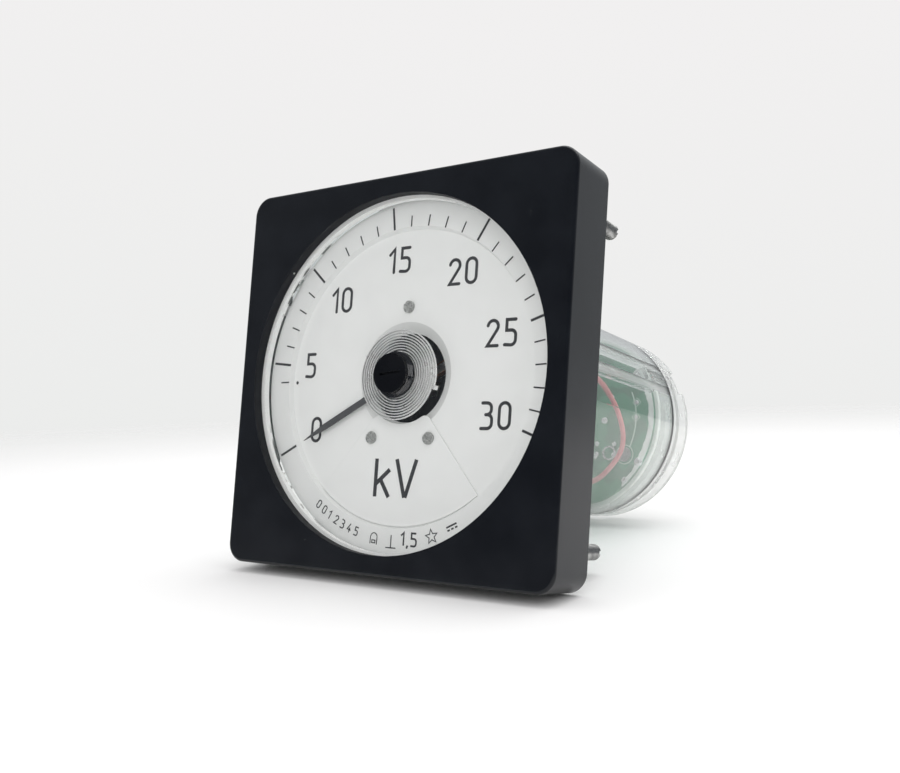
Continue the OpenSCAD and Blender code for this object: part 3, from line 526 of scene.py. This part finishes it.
rim = unit_sheet.modifiers.new("deburred_rim", "BEVEL")
rim.width, rim.segments, rim.limit_method = 0.00012, 2, "ANGLE"
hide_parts("unit_plate")

letters = bmesh.new()
K_H, K_W, PEN = 11.6, 5.2, 1.32
k_strokes = [
    ([(0, 0), (0, K_H)], False), ([(0.25, 4.0), (K_W, 8.35)], False),
    ([(1.9, 5.2), (K_W + 0.1, 0)], False),
]
print_strokes(letters, shifted(k_strokes, -8.0, -36.6), (0.0, 0.0), PEN, UNIT_FRONT, 0.0, False)
v_strokes = [([(0.1, K_H), (3.6, 0.1)], False), ([(7.4, K_H), (3.9, 0.1)], False)]
print_strokes(letters, shifted(v_strokes, -0.45, -36.6), (0.0, 0.0), PEN, UNIT_FRONT, 0.0, False)
make_piece("unit_letters", letters, ink, "meter_body")

# ---- Dial screws and other small steel
# Slotted cheese-head screws in zinc-plated steel, slightly dull and mottled from the plating barrel, with
# bright edges. They hold the dial, the unit plate, the movement's frame, the housing and the cap.

# Streaks of turning or brushing along one direction, and blotches of plating
tool_marks, takes, gives = effect(
    "tool_marks", {"Lines per Metre": 9000.0, "Stretch": 30.0, "Blotches per Metre": 700.0},
    {"Lines": "Float", "Blotches": "Float"},
)
skin = wire(tool_marks, "ShaderNodeTexCoord").outputs["Object"]
split = wire(tool_marks, "ShaderNodeSeparateXYZ", {0: skin}).outputs
squeezed = sums(tool_marks, "DIVIDE", split[0], takes[1])
drawn = wire(tool_marks, "ShaderNodeCombineXYZ", {0: squeezed, 1: split[1], 2: split[2]}).outputs[0]
lines = wire(
    tool_marks, "ShaderNodeTexNoise", {"Vector": drawn, "Scale": takes[0], "Detail": 2.0}
).outputs["Fac"]
blotches = wire(
    tool_marks, "ShaderNodeTexNoise", {"Vector": skin, "Scale": takes[2], "Detail": 4.0}
).outputs["Fac"]
tool_marks.links.new(lines, gives[0])
tool_marks.links.new(spread(tool_marks, blotches, 0.0, 1.0, 0.35, 0.65), gives[1])


def metal(
    name, dull, bright, rough, stretch=30.0, blotches=700.0, depth=2e-6, wear=0.8, lines=9000.0, bare=1.0
):
    """Metal with tool marks, blotches and bright rubbed edges. A passivated coat makes it less bare."""
    finish, tree, shader = new_finish(name)
    marks = wire(
        tree, "ShaderNodeGroup",
        {"Stretch": stretch, "Blotches per Metre": blotches, "Lines per Metre": lines},
        node_tree=tool_marks,
    ).outputs
    edges = wire(tree, "ShaderNodeGroup", {"Wear": wear, "Radius": 0.00012}, node_tree=rubbed_edges).outputs
    colour = tint(tree, marks["Blotches"], dull, bright)
    colour = tint(tree, edges["Edge"], colour, tuple(min(0.95, 1.25 * c) for c in bright))
    tree.links.new(colour, shader.inputs["Base Color"])
    gloss = spread(tree, marks["Blotches"], rough[1], rough[0])
    tree.links.new(gloss, shader.inputs["Roughness"])
    shader.inputs["Metallic"].default_value = bare
    tree.links.new(relief(tree, marks["Lines"], depth, edges["Normal"]), shader.inputs["Normal"])
    return finish


zinc_plate = metal("zinc_plate", (0.30, 0.31, 0.30), (0.46, 0.47, 0.46), (0.32, 0.5), blotches=1500.0)
dress(
    zinc_plate, "front_plate_screws", "bridge_screws", "frame_screws", "pole_screws",
    "housing_screws", "cap_screws", "board_screws", "terminal_washers", "stud_nuts",
)

dial_screw_plate = metal(
    "dial_screw_plate", (0.30, 0.31, 0.30), (0.58, 0.59, 0.57), (0.38, 0.6), blotches=1800.0, bare=0.55
)
dress(dial_screw_plate, "dial_screws")

# ---- Movement frame
# Stamped plates, turned pillars and sleeves carry the magnet and the bearings. The front plate and its
# bridge, close behind the dial hole, are chemically blackened so that they don't show up.
blackened = metal(
    "blackened_plate", (0.020, 0.022, 0.022), (0.055, 0.058, 0.056), (0.38, 0.6), blotches=500.0, wear=0.9
)
dress(blackened, "front_plate", "front_bridge")
turned_aluminium = metal("turned_aluminium", (0.55, 0.56, 0.57), (0.72, 0.73, 0.74), (0.25, 0.42))
dress(turned_aluminium, "dial_spacers", "frame_pillars", "rear_plate", "pole_spacers", "board_pillars")
turned_brass = metal("turned_brass", (0.50, 0.36, 0.14), (0.72, 0.54, 0.25), (0.22, 0.4), blotches=350.0)
dress(
    turned_brass, "rear_bearing", "bearing_locknut", "rear_spring_post", "front_collet",
    "rear_collet", "terminals", "terminal_nuts",
)
nickelled = metal("nickelled_brass", (0.16, 0.155, 0.14), (0.34, 0.33, 0.31), (0.3, 0.5), blotches=350.0)
dress(nickelled, "front_bearing", "counterweights", "balance_weights", "pointer_hub")
ground_magnet = metal("ground_magnet", (0.16, 0.165, 0.175), (0.27, 0.275, 0.28), (0.35, 0.5), stretch=60.0)
dress(ground_magnet, "magnet")
grey_iron = metal("grey_iron", (0.10, 0.105, 0.11), (0.17, 0.175, 0.18), (0.45, 0.65), blotches=250.0)
dress(grey_iron, "core_ring", "pole_ring")

# ---- Hairsprings
# Each hairspring is rolled bronze strip, silver plated. The front one carries the corrector's setting to
# the pointer; it is soldered to the corrector's collet inside and to the spring arm outside.
rolled_strip = metal(
    "rolled_strip", (0.84, 0.85, 0.84), (0.95, 0.95, 0.94), (0.25, 0.4), stretch=8.0, blotches=250.0,
    bare=0.55, wear=0.4
)
dress(rolled_strip, "front_spring", "rear_spring", "spring_arm")

# ---- Moving system
# The pointer is blanked from thin aluminium and lacquered dark grey. The coil is wound in enamelled copper
# wire on an aluminium former that damps the swing, and hangs from brackets on the steel spindle.
pointer_lacquer = moulded(
    "pointer_lacquer", (0.050, 0.052, 0.054), (0.075, 0.077, 0.080), (0.32, 0.45), grain=6000.0, depth=3e-6,
    dust=0.02, wear=0.5,
)
dress(pointer_lacquer, "pointer")
dress(turned_aluminium, "coil_former", "coil_brackets")
plain_steel = metal("plain_steel", (0.38, 0.38, 0.37), (0.56, 0.56, 0.55), (0.25, 0.42))
dress(plain_steel, "spindle")

winding, tree, shader = new_finish("copper_winding")
skin = wire(tree, "ShaderNodeTexCoord").outputs["Object"]
turns = wire(
    tree, "ShaderNodeTexWave", {"Vector": skin, "Scale": 900.0, "Distortion": 0.6, "Detail": 1.0},
    bands_direction="Y"
).outputs["Fac"]
enamel = wire(tree, "ShaderNodeTexNoise", {"Vector": skin, "Scale": 500.0}).outputs["Fac"]
tree.links.new(tint(tree, enamel, (0.11, 0.050, 0.028), (0.20, 0.095, 0.050)), shader.inputs["Base Color"])
tree.links.new(spread(tree, turns, 0.2, 0.35), shader.inputs["Roughness"])
tree.links.new(relief(tree, turns, 4e-5), shader.inputs["Normal"])
shader.inputs["Metallic"].default_value = 0.8
dress(winding, "coil_winding")

# ---- Zero corrector
# The corrector is a slotted black plastic screw head in the middle of the window, on the pointer's axis.
# It is a little duller than the frame, and its edges are faintly rubbed by the screwdriver.
corrector_black = moulded(
    "corrector_black", (0.0025, 0.0030, 0.0045), (0.0045, 0.0052, 0.0070), (0.22, 0.34), grain=7000.0,
    depth=2e-6,
    dust=0.02, wear=0.12,
)
corrector_black.node_tree.nodes["Principled BSDF"].inputs["Specular IOR Level"].default_value = 0.2
dress(corrector_black, "zero_corrector")

# ---- Housing and rear cap
# The housing is one injection moulding in clear polycarbonate: a wide pot in the frame, then a slim tube.
# The cap closes its rear end; both show flow waves, and the joint between them is a thin dark seal.
housing_clear = clear_moulding(
    "housing_clear", (0.965, 0.985, 0.975), (0.90, 0.93, 0.92), (0.01, 0.06), 1.8e-5, 55.0, 4.0, 1.585
)
dress(housing_clear, "housing")

# The six stiffening ribs were cut with a rougher tool than the tube, so they look frosted and pale
tree = housing_clear.node_tree
shader = tree.nodes["Principled BSDF"]
split = wire(tree, "ShaderNodeSeparateXYZ", {0: wire(tree, "ShaderNodeTexCoord").outputs["Object"]}).outputs
round_tube = sums(tree, "SUBTRACT", sums(tree, "ARCTAN2", split[0], split[2]), math.radians(61.0))
in_third = sums(tree, "FLOORED_MODULO", round_tube, math.radians(120.0))
frosted = None
for rib_angle, half_width in ((9.0, 2.9), (114.0, 2.1)):
    aside = sums(tree, "ABSOLUTE", sums(tree, "SUBTRACT", in_third, math.radians(rib_angle)))
    band = spread(tree, aside, 1.0, 0.0, math.radians(half_width - 0.5), math.radians(half_width))
    frosted = band if frosted is None else sums(tree, "MAXIMUM", frosted, band)
smooth_skin = shader.inputs["Roughness"].links[0].from_socket
tree.links.new(
    sums(tree, "MAXIMUM", smooth_skin, sums(tree, "MULTIPLY", frosted, 0.5)), shader.inputs["Roughness"]
)
clear_tint = shader.inputs["Base Color"].links[0].from_socket
tree.links.new(tint(tree, frosted, clear_tint, (1.0, 1.0, 1.0)), shader.inputs["Base Color"])
cap_clear = clear_moulding(
    "cap_clear", (0.90, 0.905, 0.895), (0.84, 0.86, 0.85), (0.18, 0.32), 1.2e-4, 110.0, 1.0, 1.585, 0.72
)
dress(cap_clear, "rear_cap")

# ---- Circuit board
# The round board is green glass epoxy with tinned joints and wide tracks under the lacquer. A white ring
# behind it sets it against the cap's spigot, and its parts stand on the side that faces the cap.
BOARD_FRONT = 119.0
BOARD_BACK = 120.6

board_lacquer, tree, shader = new_finish("board_lacquer")
skin = wire(tree, "ShaderNodeTexCoord").outputs["Object"]
weave = wire(
    tree, "ShaderNodeTexBrick", {"Vector": skin, "Scale": 1400.0, "Mortar Size": 0.03}
).outputs["Fac"]
patches = wire(tree, "ShaderNodeTexVoronoi", {"Vector": skin, "Scale": 130.0}, distance="MANHATTAN")
dice = wire(tree, "ShaderNodeSeparateColor", {0: patches.outputs["Color"]}).outputs
copper = spread(tree, dice[0], 0.0, 1.0, 0.44, 0.46)
clouds = wire(tree, "ShaderNodeTexNoise", {"Vector": skin, "Scale": 90.0, "Detail": 3.0}).outputs["Fac"]
bare = tint(tree, clouds, (0.008, 0.120, 0.055), (0.012, 0.150, 0.070))
covered = tint(tree, clouds, (0.014, 0.175, 0.082), (0.020, 0.210, 0.105))
tree.links.new(tint(tree, copper, bare, covered), shader.inputs["Base Color"])
tree.links.new(spread(tree, clouds, 0.25, 0.4), shader.inputs["Roughness"])
height = sums(tree, "ADD", copper, sums(tree, "MULTIPLY", weave, 0.15))
tree.links.new(relief(tree, height, 2.5e-5), shader.inputs["Normal"])
dress(board_lacquer, "circuit_board")

ring_white = moulded("ring_white", (0.72, 0.73, 0.70), (0.82, 0.83, 0.80), (0.3, 0.45), dust=0.05)
dress(ring_white, "board_ring")

solder, tree, shader = new_finish("solder")
skin = wire(tree, "ShaderNodeTexCoord").outputs["Object"]
frost = wire(tree, "ShaderNodeTexNoise", {"Vector": skin, "Scale": 1800.0, "Detail": 3.0}).outputs["Fac"]
tree.links.new(tint(tree, frost, (0.55, 0.56, 0.57), (0.82, 0.83, 0.84)), shader.inputs["Base Color"])
tree.links.new(spread(tree, frost, 0.18, 0.4), shader.inputs["Roughness"])
tree.links.new(relief(tree, frost, 1e-5), shader.inputs["Normal"])
shader.inputs["Metallic"].default_value = 1.0


def dome(bm, x, z, radius, height, base, toward):
    """A solder joint: a small dome on the board, toward -1 for its front side or 1 for its back."""
    rings = []
    for k in range(4):
        lift = math.radians(90.0 * k / 4)
        r, d = radius * math.cos(lift), base + toward * height * math.sin(lift)
        turns = [a * math.pi / 6 for a in range(12)]
        spots = [(x + r * math.sin(t), z + r * math.cos(t)) for t in turns]
        rings.append([bm.verts.new(place(px, d, pz)) for px, pz in spots])
    tip = bm.verts.new(place(x, base + toward * height, z))
    for low, high in zip(rings, rings[1:]):
        for a in range(12):
            bm.faces.new((low[a], low[(a + 1) % 12], high[(a + 1) % 12], high[a]))
    for a in range(12):
        bm.faces.new((rings[-1][a], rings[-1][(a + 1) % 12], tip))
    bm.faces.new(rings[0][::-1])


def hoop(bm, x, z, inner, outer, front, back, start=0.0, end=360.0, steps=32):
    """A flat ring, or a part of one, round a point on the board."""
    whole = end - start >= 360.0
    count = steps if whole else steps + 1
    loops = []
    for radius, depth in ((outer, front), (inner, front), (inner, back), (outer, back)):
        turns = [start + (end - start) * k / steps for k in range(count)]
        spots = [around(t, radius) for t in turns]
        loops.append([bm.verts.new(place(x + px, depth, z + pz)) for px, pz in spots])
    for a, b in ((0, 1), (1, 2), (2, 3), (3, 0)):
        for k in range(count if whole else count - 1):
            n = (k + 1) % count
            bm.faces.new((loops[a][k], loops[a][n], loops[b][n], loops[b][k]))
    if not whole:
        bm.faces.new([loop[0] for loop in loops])
        bm.faces.new([loop[-1] for loop in loops][::-1])


joints = bmesh.new()
AXIAL_ROWS = [(0.0, 5 - 4 * row, 4.85) for row in range(4)]
AXIAL_ROWS += [(side * 14.0, -9 - 4 * row, 3.6) for side in (-1, 1) for row in (0, 1)]
for x, z, reach in AXIAL_ROWS:
    for side in (-1, 1):
        dome(joints, x + side * reach, z, 0.95, 0.75, BOARD_FRONT - 0.01, -1)
JOINT_SPOTS = [
    (25.9, 6.6, 0.9), (25.9, 1.1, 0.8), (27.8, -15.3, 1.7), (22.8, -22.1, 1.3), (5.0, -24.0, 1.2),
    (-9.0, -20.0, 1.2),
    (-10.5, -15.0, 0.9), (-5.5, -15.0, 0.9), (6.0, -14.0, 0.9), (10.0, -14.0, 0.9), (-2.5, 17.5, 0.8),
    (2.5, 17.5, 0.8),
    (13.0, 0.0, 1.3), (-13.0, 0.0, 1.3), (16.0, 9.0, 0.7),
    (-20.0, 5.0, 0.8), (-24.0, -6.0, 0.8), (-16.0, 14.0, 0.7), (-27.0, 8.0, 0.7), (9.0, 26.0, 0.8),
    (-6.0, 27.0, 0.8),
]
for x, z, size in JOINT_SPOTS:
    dome(joints, x, z, size, 0.6 * size, BOARD_FRONT - 0.01, -1)
hoop(joints, 15.7, -12.4, 2.1, 2.75, BOARD_FRONT - 0.35, BOARD_FRONT - 0.01)
make_piece("board_joints", joints, solder, "meter_body", smooth=True)

legend_paint = moulded(
    "legend_paint", (0.42, 0.55, 0.47), (0.55, 0.66, 0.58), (0.5, 0.6), dust=0.0, wear=0.0
)
legend = bmesh.new()
for radius in (25.7, 31.0):
    hoop(legend, 0.0, 0.0, radius, radius + 0.45, BOARD_FRONT - 0.06, BOARD_FRONT - 0.01, 66.0, 112.0)
hoop(legend, 22.08, -12.75, 3.3, 3.6, BOARD_FRONT - 0.06, BOARD_FRONT - 0.01)
for x, z in ((25.9, 6.6), (25.9, 1.1)):
    hoop(legend, x, z, 1.5, 1.8, BOARD_FRONT - 0.06, BOARD_FRONT - 0.01, steps=4)
make_piece("board_legend", legend, legend_paint, "meter_body")

# A bead of white sealant holds the board's edge to the tube. Its inner side is ragged where it was wiped
sealant = moulded(
    "white_sealant", (0.62, 0.64, 0.62), (0.78, 0.80, 0.78), (0.4, 0.6), grain=1500.0, depth=4e-5,
    wear=0.0,
)
random.seed(7)
bead = bmesh.new()
for start, end in ((42.0, 138.0), (222.0, 318.0)):
    ragged = 0.0
    inner_side, outer_side = [], []
    steps = 64
    for k in range(steps + 1):
        turn = start + (end - start) * k / steps
        ragged = 0.7 * ragged + random.uniform(-0.45, 0.45)
        swell = math.sin(math.pi * k / steps) ** 0.4
        inner_side.append(around(turn, 32.7 - swell * (1.9 + ragged)))
        outer_side.append(around(turn, 32.95))
    slab(bead, inner_side + outer_side[::-1], BOARD_FRONT - 0.35, BOARD_FRONT - 0.01)
make_piece("board_sealant", bead, sealant, "meter_body")

# Electrolytic capacitors in a blue sleeve with a pale stripe and a bare aluminium end
can_sleeve, tree, shader = new_finish("can_sleeve")
skin = wire(tree, "ShaderNodeTexCoord").outputs["Object"]
split = wire(tree, "ShaderNodeSeparateXYZ", {0: skin}).outputs
grain = wire(tree, "ShaderNodeGroup", {"Grains per Metre": 4000.0}, node_tree=mould_grain).outputs
blue = tint(tree, grain["Clouds"], (0.020, 0.045, 0.15), (0.035, 0.070, 0.21))
stripe = sums(tree, "LESS_THAN", split[2], -0.0172)
bare_end = sums(tree, "GREATER_THAN", split[1], (BOARD_BACK + 10.7 - FACE_DEPTH) * MM)
tree.links.new(
    tint(tree, bare_end, tint(tree, stripe, blue, (0.5, 0.52, 0.55)), (0.6, 0.6, 0.6)),
    shader.inputs["Base Color"],
)
tree.links.new(bare_end, shader.inputs["Metallic"])
tree.links.new(spread(tree, grain["Grain"], 0.25, 0.38), shader.inputs["Roughness"])
tree.links.new(relief(tree, grain["Grain"], 4e-6), shader.inputs["Normal"])
dress(can_sleeve, "capacitors")

# Metal film resistors with tinned leads and printed rings, and glass-black rectifier diodes
resistor_coat, tree, shader = new_finish("resistor_coat")
skin = wire(tree, "ShaderNodeTexCoord").outputs["Object"]
split = wire(tree, "ShaderNodeSeparateXYZ", {0: skin}).outputs
grain = wire(tree, "ShaderNodeGroup", {"Grains per Metre": 4000.0}, node_tree=mould_grain).outputs
colour = tint(tree, grain["Clouds"], (0.36, 0.27, 0.15), (0.48, 0.38, 0.24))
for across, band in (
    (-2.2, (0.30, 0.02, 0.01)), (-1.0, (0.02, 0.02, 0.02)), (0.1, (0.35, 0.12, 0.01)),
    (2.1, (0.45, 0.30, 0.05)),
):
    off = sums(tree, "ABSOLUTE", sums(tree, "SUBTRACT", split[0], across * MM))
    colour = tint(tree, sums(tree, "LESS_THAN", off, 0.00032), colour, band)
lead_part = sums(tree, "GREATER_THAN", sums(tree, "ABSOLUTE", split[0]), 0.00327)
tree.links.new(tint(tree, lead_part, colour, (0.62, 0.63, 0.63)), shader.inputs["Base Color"])
tree.links.new(lead_part, shader.inputs["Metallic"])
tree.links.new(spread(tree, grain["Grain"], 0.22, 0.36), shader.inputs["Roughness"])
tree.links.new(relief(tree, grain["Grain"], 5e-6), shader.inputs["Normal"])
dress(resistor_coat, "resistors")

diode_black, tree, shader = new_finish("diode_black")
skin = wire(tree, "ShaderNodeTexCoord").outputs["Object"]
split = wire(tree, "ShaderNodeSeparateXYZ", {0: skin}).outputs
grain = wire(tree, "ShaderNodeGroup", {"Grains per Metre": 6000.0}, node_tree=mould_grain).outputs
from_middle = sums(tree, "SUBTRACT", sums(tree, "ABSOLUTE", split[0]), 0.014)
lead_part = sums(tree, "GREATER_THAN", sums(tree, "ABSOLUTE", from_middle), 0.00202)
off = sums(tree, "ABSOLUTE", sums(tree, "SUBTRACT", from_middle, 0.0012))
body_colour = tint(tree, grain["Clouds"], (0.012, 0.012, 0.013), (0.022, 0.022, 0.024))
body_colour = tint(tree, sums(tree, "LESS_THAN", off, 0.0003), body_colour, (0.55, 0.55, 0.55))
tree.links.new(tint(tree, lead_part, body_colour, (0.62, 0.63, 0.63)), shader.inputs["Base Color"])
tree.links.new(lead_part, shader.inputs["Metallic"])
tree.links.new(spread(tree, grain["Grain"], 0.25, 0.4), shader.inputs["Roughness"])
tree.links.new(relief(tree, grain["Grain"], 5e-6), shader.inputs["Normal"])
dress(diode_black, "rectifier")

trimmer_blue = moulded("trimmer_blue", (0.020, 0.075, 0.30), (0.035, 0.110, 0.38), (0.3, 0.45), dust=0.02)
dress(trimmer_blue, "trimmer")

# ---- Leads
# Two stranded leads in soft PVC run from the board to the movement. The red one is
# faded, and both are a little dusty.
red_sheath = moulded(
    "red_sheath", (0.52, 0.15, 0.155), (0.62, 0.20, 0.21), (0.35, 0.5), grain=2500.0, dust=0.05, wear=0.0
)
dress(red_sheath, "red_lead")
black_sheath = moulded(
    "black_sheath", (0.015, 0.015, 0.016), (0.03, 0.03, 0.03), (0.35, 0.5), grain=2500.0, dust=0.05,
    wear=0.0,
)
dress(black_sheath, "black_lead")

# ---- Fixing studs
# Four steel studs, thicker where they sit in the frame's bosses and M5 where they pass the panel. Their
# rolled threads are bright on the crests, and each end has a screwdriver slot.
STUD_SPOTS = [(x, z) for x in (-49.0, 49.0) for z in (-49.0, 49.0)]


def thread_radius(phase, outer, depth):
    """Radius on a 60 degree thread at a phase of one pitch, with flat crest and root."""
    climb = abs(2.0 * (phase % 1.0) - 1.0)
    return outer - depth * min(1.0, max(0.0, (climb - 0.12) / 0.72))


def threaded_rod(bm, x, z, stations, pitch, depth, sides=28):
    """A rod along the depth. stations is a list of (depth, outer radius, threaded)."""
    rows = []
    for at, outer, cut in stations:
        row = []
        for k in range(sides):
            turn = 2 * math.pi * k / sides
            r = thread_radius(at / pitch + k / sides, outer, depth) if cut else outer
            row.append(bm.verts.new(place(x + r * math.sin(turn), at, z + r * math.cos(turn))))
        rows.append(row)
    for low, high in zip(rows, rows[1:]):
        for k in range(sides):
            n = (k + 1) % sides
            bm.faces.new((low[k], low[n], high[n], high[k]))
    bm.faces.new(rows[0][::-1])
    bm.faces.new(rows[-1])


STUD_END, BASE_START, BASE_END = 45.0, 5.2, 16.0
stud_steel = metal(
    "stud_steel", (0.28, 0.28, 0.275), (0.50, 0.50, 0.49), (0.28, 0.45), blotches=500.0, wear=0.6
)
stud_bm = bmesh.new()
for x, z in STUD_SPOTS:
    stations = [
        (BASE_START, 2.7, False), (BASE_START + 0.3, 3.0, False), (BASE_END - 0.3, 3.0, False),
        (BASE_END, 2.6, False),
    ]
    steps = 240
    for k in range(steps + 1):
        at = BASE_END + 0.02 + (STUD_END - BASE_END - 0.02) * k / steps
        bevelled = min(2.48, 1.95 + (STUD_END - at) * 1.2)
        stations.append((at, bevelled, True))
    threaded_rod(stud_bm, x, z, stations, 0.8, 0.42)
studs = make_piece("threaded_studs", stud_bm, stud_steel, "meter_body", smooth=True)
slot_bm = bmesh.new()
for x, z in STUD_SPOTS:
    slab(
        slot_bm, [(x - 4, z - 0.5), (x + 4, z - 0.5), (x + 4, z + 0.5), (x - 4, z + 0.5)], STUD_END - 1.6,
        STUD_END + 1,
    )
bmesh.ops.recalc_face_normals(slot_bm, faces=slot_bm.faces)
cutter_mesh = bpy.data.meshes.new("slot_cutter")
slot_bm.to_mesh(cutter_mesh)
slot_bm.free()
cutter = bpy.data.objects.new("slot_cutter", cutter_mesh)
bpy.context.scene.collection.objects.link(cutter)
cut = studs.modifiers.new("driver_slots", "BOOLEAN")
cut.object, cut.operation, cut.solver = cutter, "DIFFERENCE", "EXACT"
slotted = bpy.data.meshes.new_from_object(studs.evaluated_get(bpy.context.evaluated_depsgraph_get()))
studs.modifiers.clear()
studs.data = slotted
bpy.data.objects.remove(cutter)
slotted.set_sharp_from_angle(angle=math.radians(50))
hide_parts("fixing_studs")

# ---- Studio
# A pale floor lies under the leaning meter, which rests on the frame's lower back edge and the cap's rim.
# It fades into the pale surround. A large soft light hangs above. Two smaller ones stand to the right, in
# front and behind, and show in no gloss.
LEAN = math.atan2(23.0, 129.6)
floor_normal = Vector((0.0, -math.sin(LEAN), math.cos(LEAN)))
floor_point = place(0.0, FACE_DEPTH, -60.25)

floor_white, tree, shader = new_finish("floor_white")
skin = wire(tree, "ShaderNodeTexCoord").outputs["Object"]
mottle = wire(tree, "ShaderNodeTexNoise", {"Vector": skin, "Scale": 6.0, "Detail": 3.0}).outputs["Fac"]
tree.links.new(tint(tree, mottle, (0.90, 0.90, 0.90), (0.93, 0.93, 0.93)), shader.inputs["Base Color"])
shader.inputs["Roughness"].default_value = 0.6
shader.inputs["Specular IOR Level"].default_value = 0.15
distance = wire(tree, "ShaderNodeVectorMath", {0: skin}, operation="LENGTH").outputs["Value"]
fade = spread(tree, distance, 0.0, 1.0, 0.45, 1.25)
back = wire(tree, "ShaderNodeNewGeometry").outputs["Backfacing"]
gone = sums(tree, "MAXIMUM", fade, back)
through = wire(tree, "ShaderNodeBsdfTransparent").outputs[0]
shown = wire(tree, "ShaderNodeMixShader", {0: gone, 1: shader.outputs[0], 2: through}).outputs[0]
tree.links.new(shown, tree.nodes["Material Output"].inputs[0])
floor_mesh = bpy.data.meshes.new("floor")
floor_bm = bmesh.new()
bmesh.ops.create_circle(floor_bm, cap_ends=True, segments=64, radius=1.3)
floor_bm.to_mesh(floor_mesh)
floor_bm.free()
floor_mesh.materials.append(floor_white)
floor = bpy.data.objects.new("floor", floor_mesh)
floor.rotation_mode = "QUATERNION"
floor.rotation_quaternion = floor_normal.to_track_quat("Z", "Y")
floor.location = floor_point
bpy.context.scene.collection.objects.link(floor)

world = bpy.data.worlds.new("surround")
bpy.context.scene.world = world
world.use_nodes = True
tree = world.node_tree
tree.nodes.clear()
sky = wire(tree, "ShaderNodeTexCoord").outputs["Generated"]
aim = Vector((-0.30, 0.85, 0.43)).normalized()
toward = wire(
    tree, "ShaderNodeVectorMath", {0: sky, 1: tuple(aim)}, operation="DOT_PRODUCT"
).outputs["Value"]
rays = wire(tree, "ShaderNodeLightPath").outputs
up_share = wire(
    tree, "ShaderNodeVectorMath", {0: sky, 1: (0.0, 0.0, 1.0)}, operation="DOT_PRODUCT"
).outputs["Value"]
surround = tint(tree, spread(tree, up_share, 0.0, 1.0, 0.0, 0.45), (0.83, 0.84, 0.83), (0.88, 0.87, 0.87))
mirrored = tint(tree, spread(tree, toward, 0.0, 1.0, -0.6, 0.6), (0.08, 0.09, 0.11), (0.60, 0.62, 0.63))
seen = tint(tree, rays["Is Glossy Ray"], surround, mirrored)
glow = wire(tree, "ShaderNodeBackground", {"Color": seen, "Strength": 1.0}).outputs[0]
tree.links.new(glow, wire(tree, "ShaderNodeOutputWorld").inputs[0])


def softbox(name, where, target, size, power, mirrored=True):
    """A square area light that looks at a point. A light that isn't mirrored shows in no gloss."""
    lamp = bpy.data.lights.new(name, "AREA")
    lamp.shape, lamp.size, lamp.energy = "SQUARE", size, power
    holder = bpy.data.objects.new(name, lamp)
    holder.location = where
    holder.rotation_mode = "QUATERNION"
    holder.rotation_quaternion = (Vector(target) - Vector(where)).to_track_quat("-Z", "Y")
    holder.visible_glossy = mirrored
    bpy.context.scene.collection.objects.link(holder)


softbox("overhead", (0.10, 0.10, 0.95), (0.0, 0.05, 0.0), 0.9, 4.5)
softbox("front_fill", (0.42, -0.92, 0.30), (0.0, 0.0, 0.0), 0.7, 2.5, False)
softbox("right_back", (0.9, 0.5, 0.25), (0.0, 0.05, 0.0), 0.7, 1.2, False)

camera_data = bpy.data.cameras.new("camera")
camera = bpy.data.objects.new("camera", camera_data)
bpy.context.scene.collection.objects.link(camera)
bpy.context.scene.camera = camera
camera_data.sensor_width = 36.0
camera_data.lens = 39.11
camera_data.shift_x = 0.0013
camera_data.shift_y = 0.0659
camera_data.clip_start = 0.01
right = Vector((0.82475, 0.56165, 0.06588)).normalized()
back = Vector((0.56532, -0.82179, -0.07121)).normalized()
upward = back.cross(right).normalized()
stance = Matrix((right, upward, back)).transposed().to_4x4()
camera.matrix_world = Matrix.Translation((0.17874, -0.24284, -0.04095)) @ stance

scene = bpy.context.scene
scene.view_settings.view_transform = "Standard"
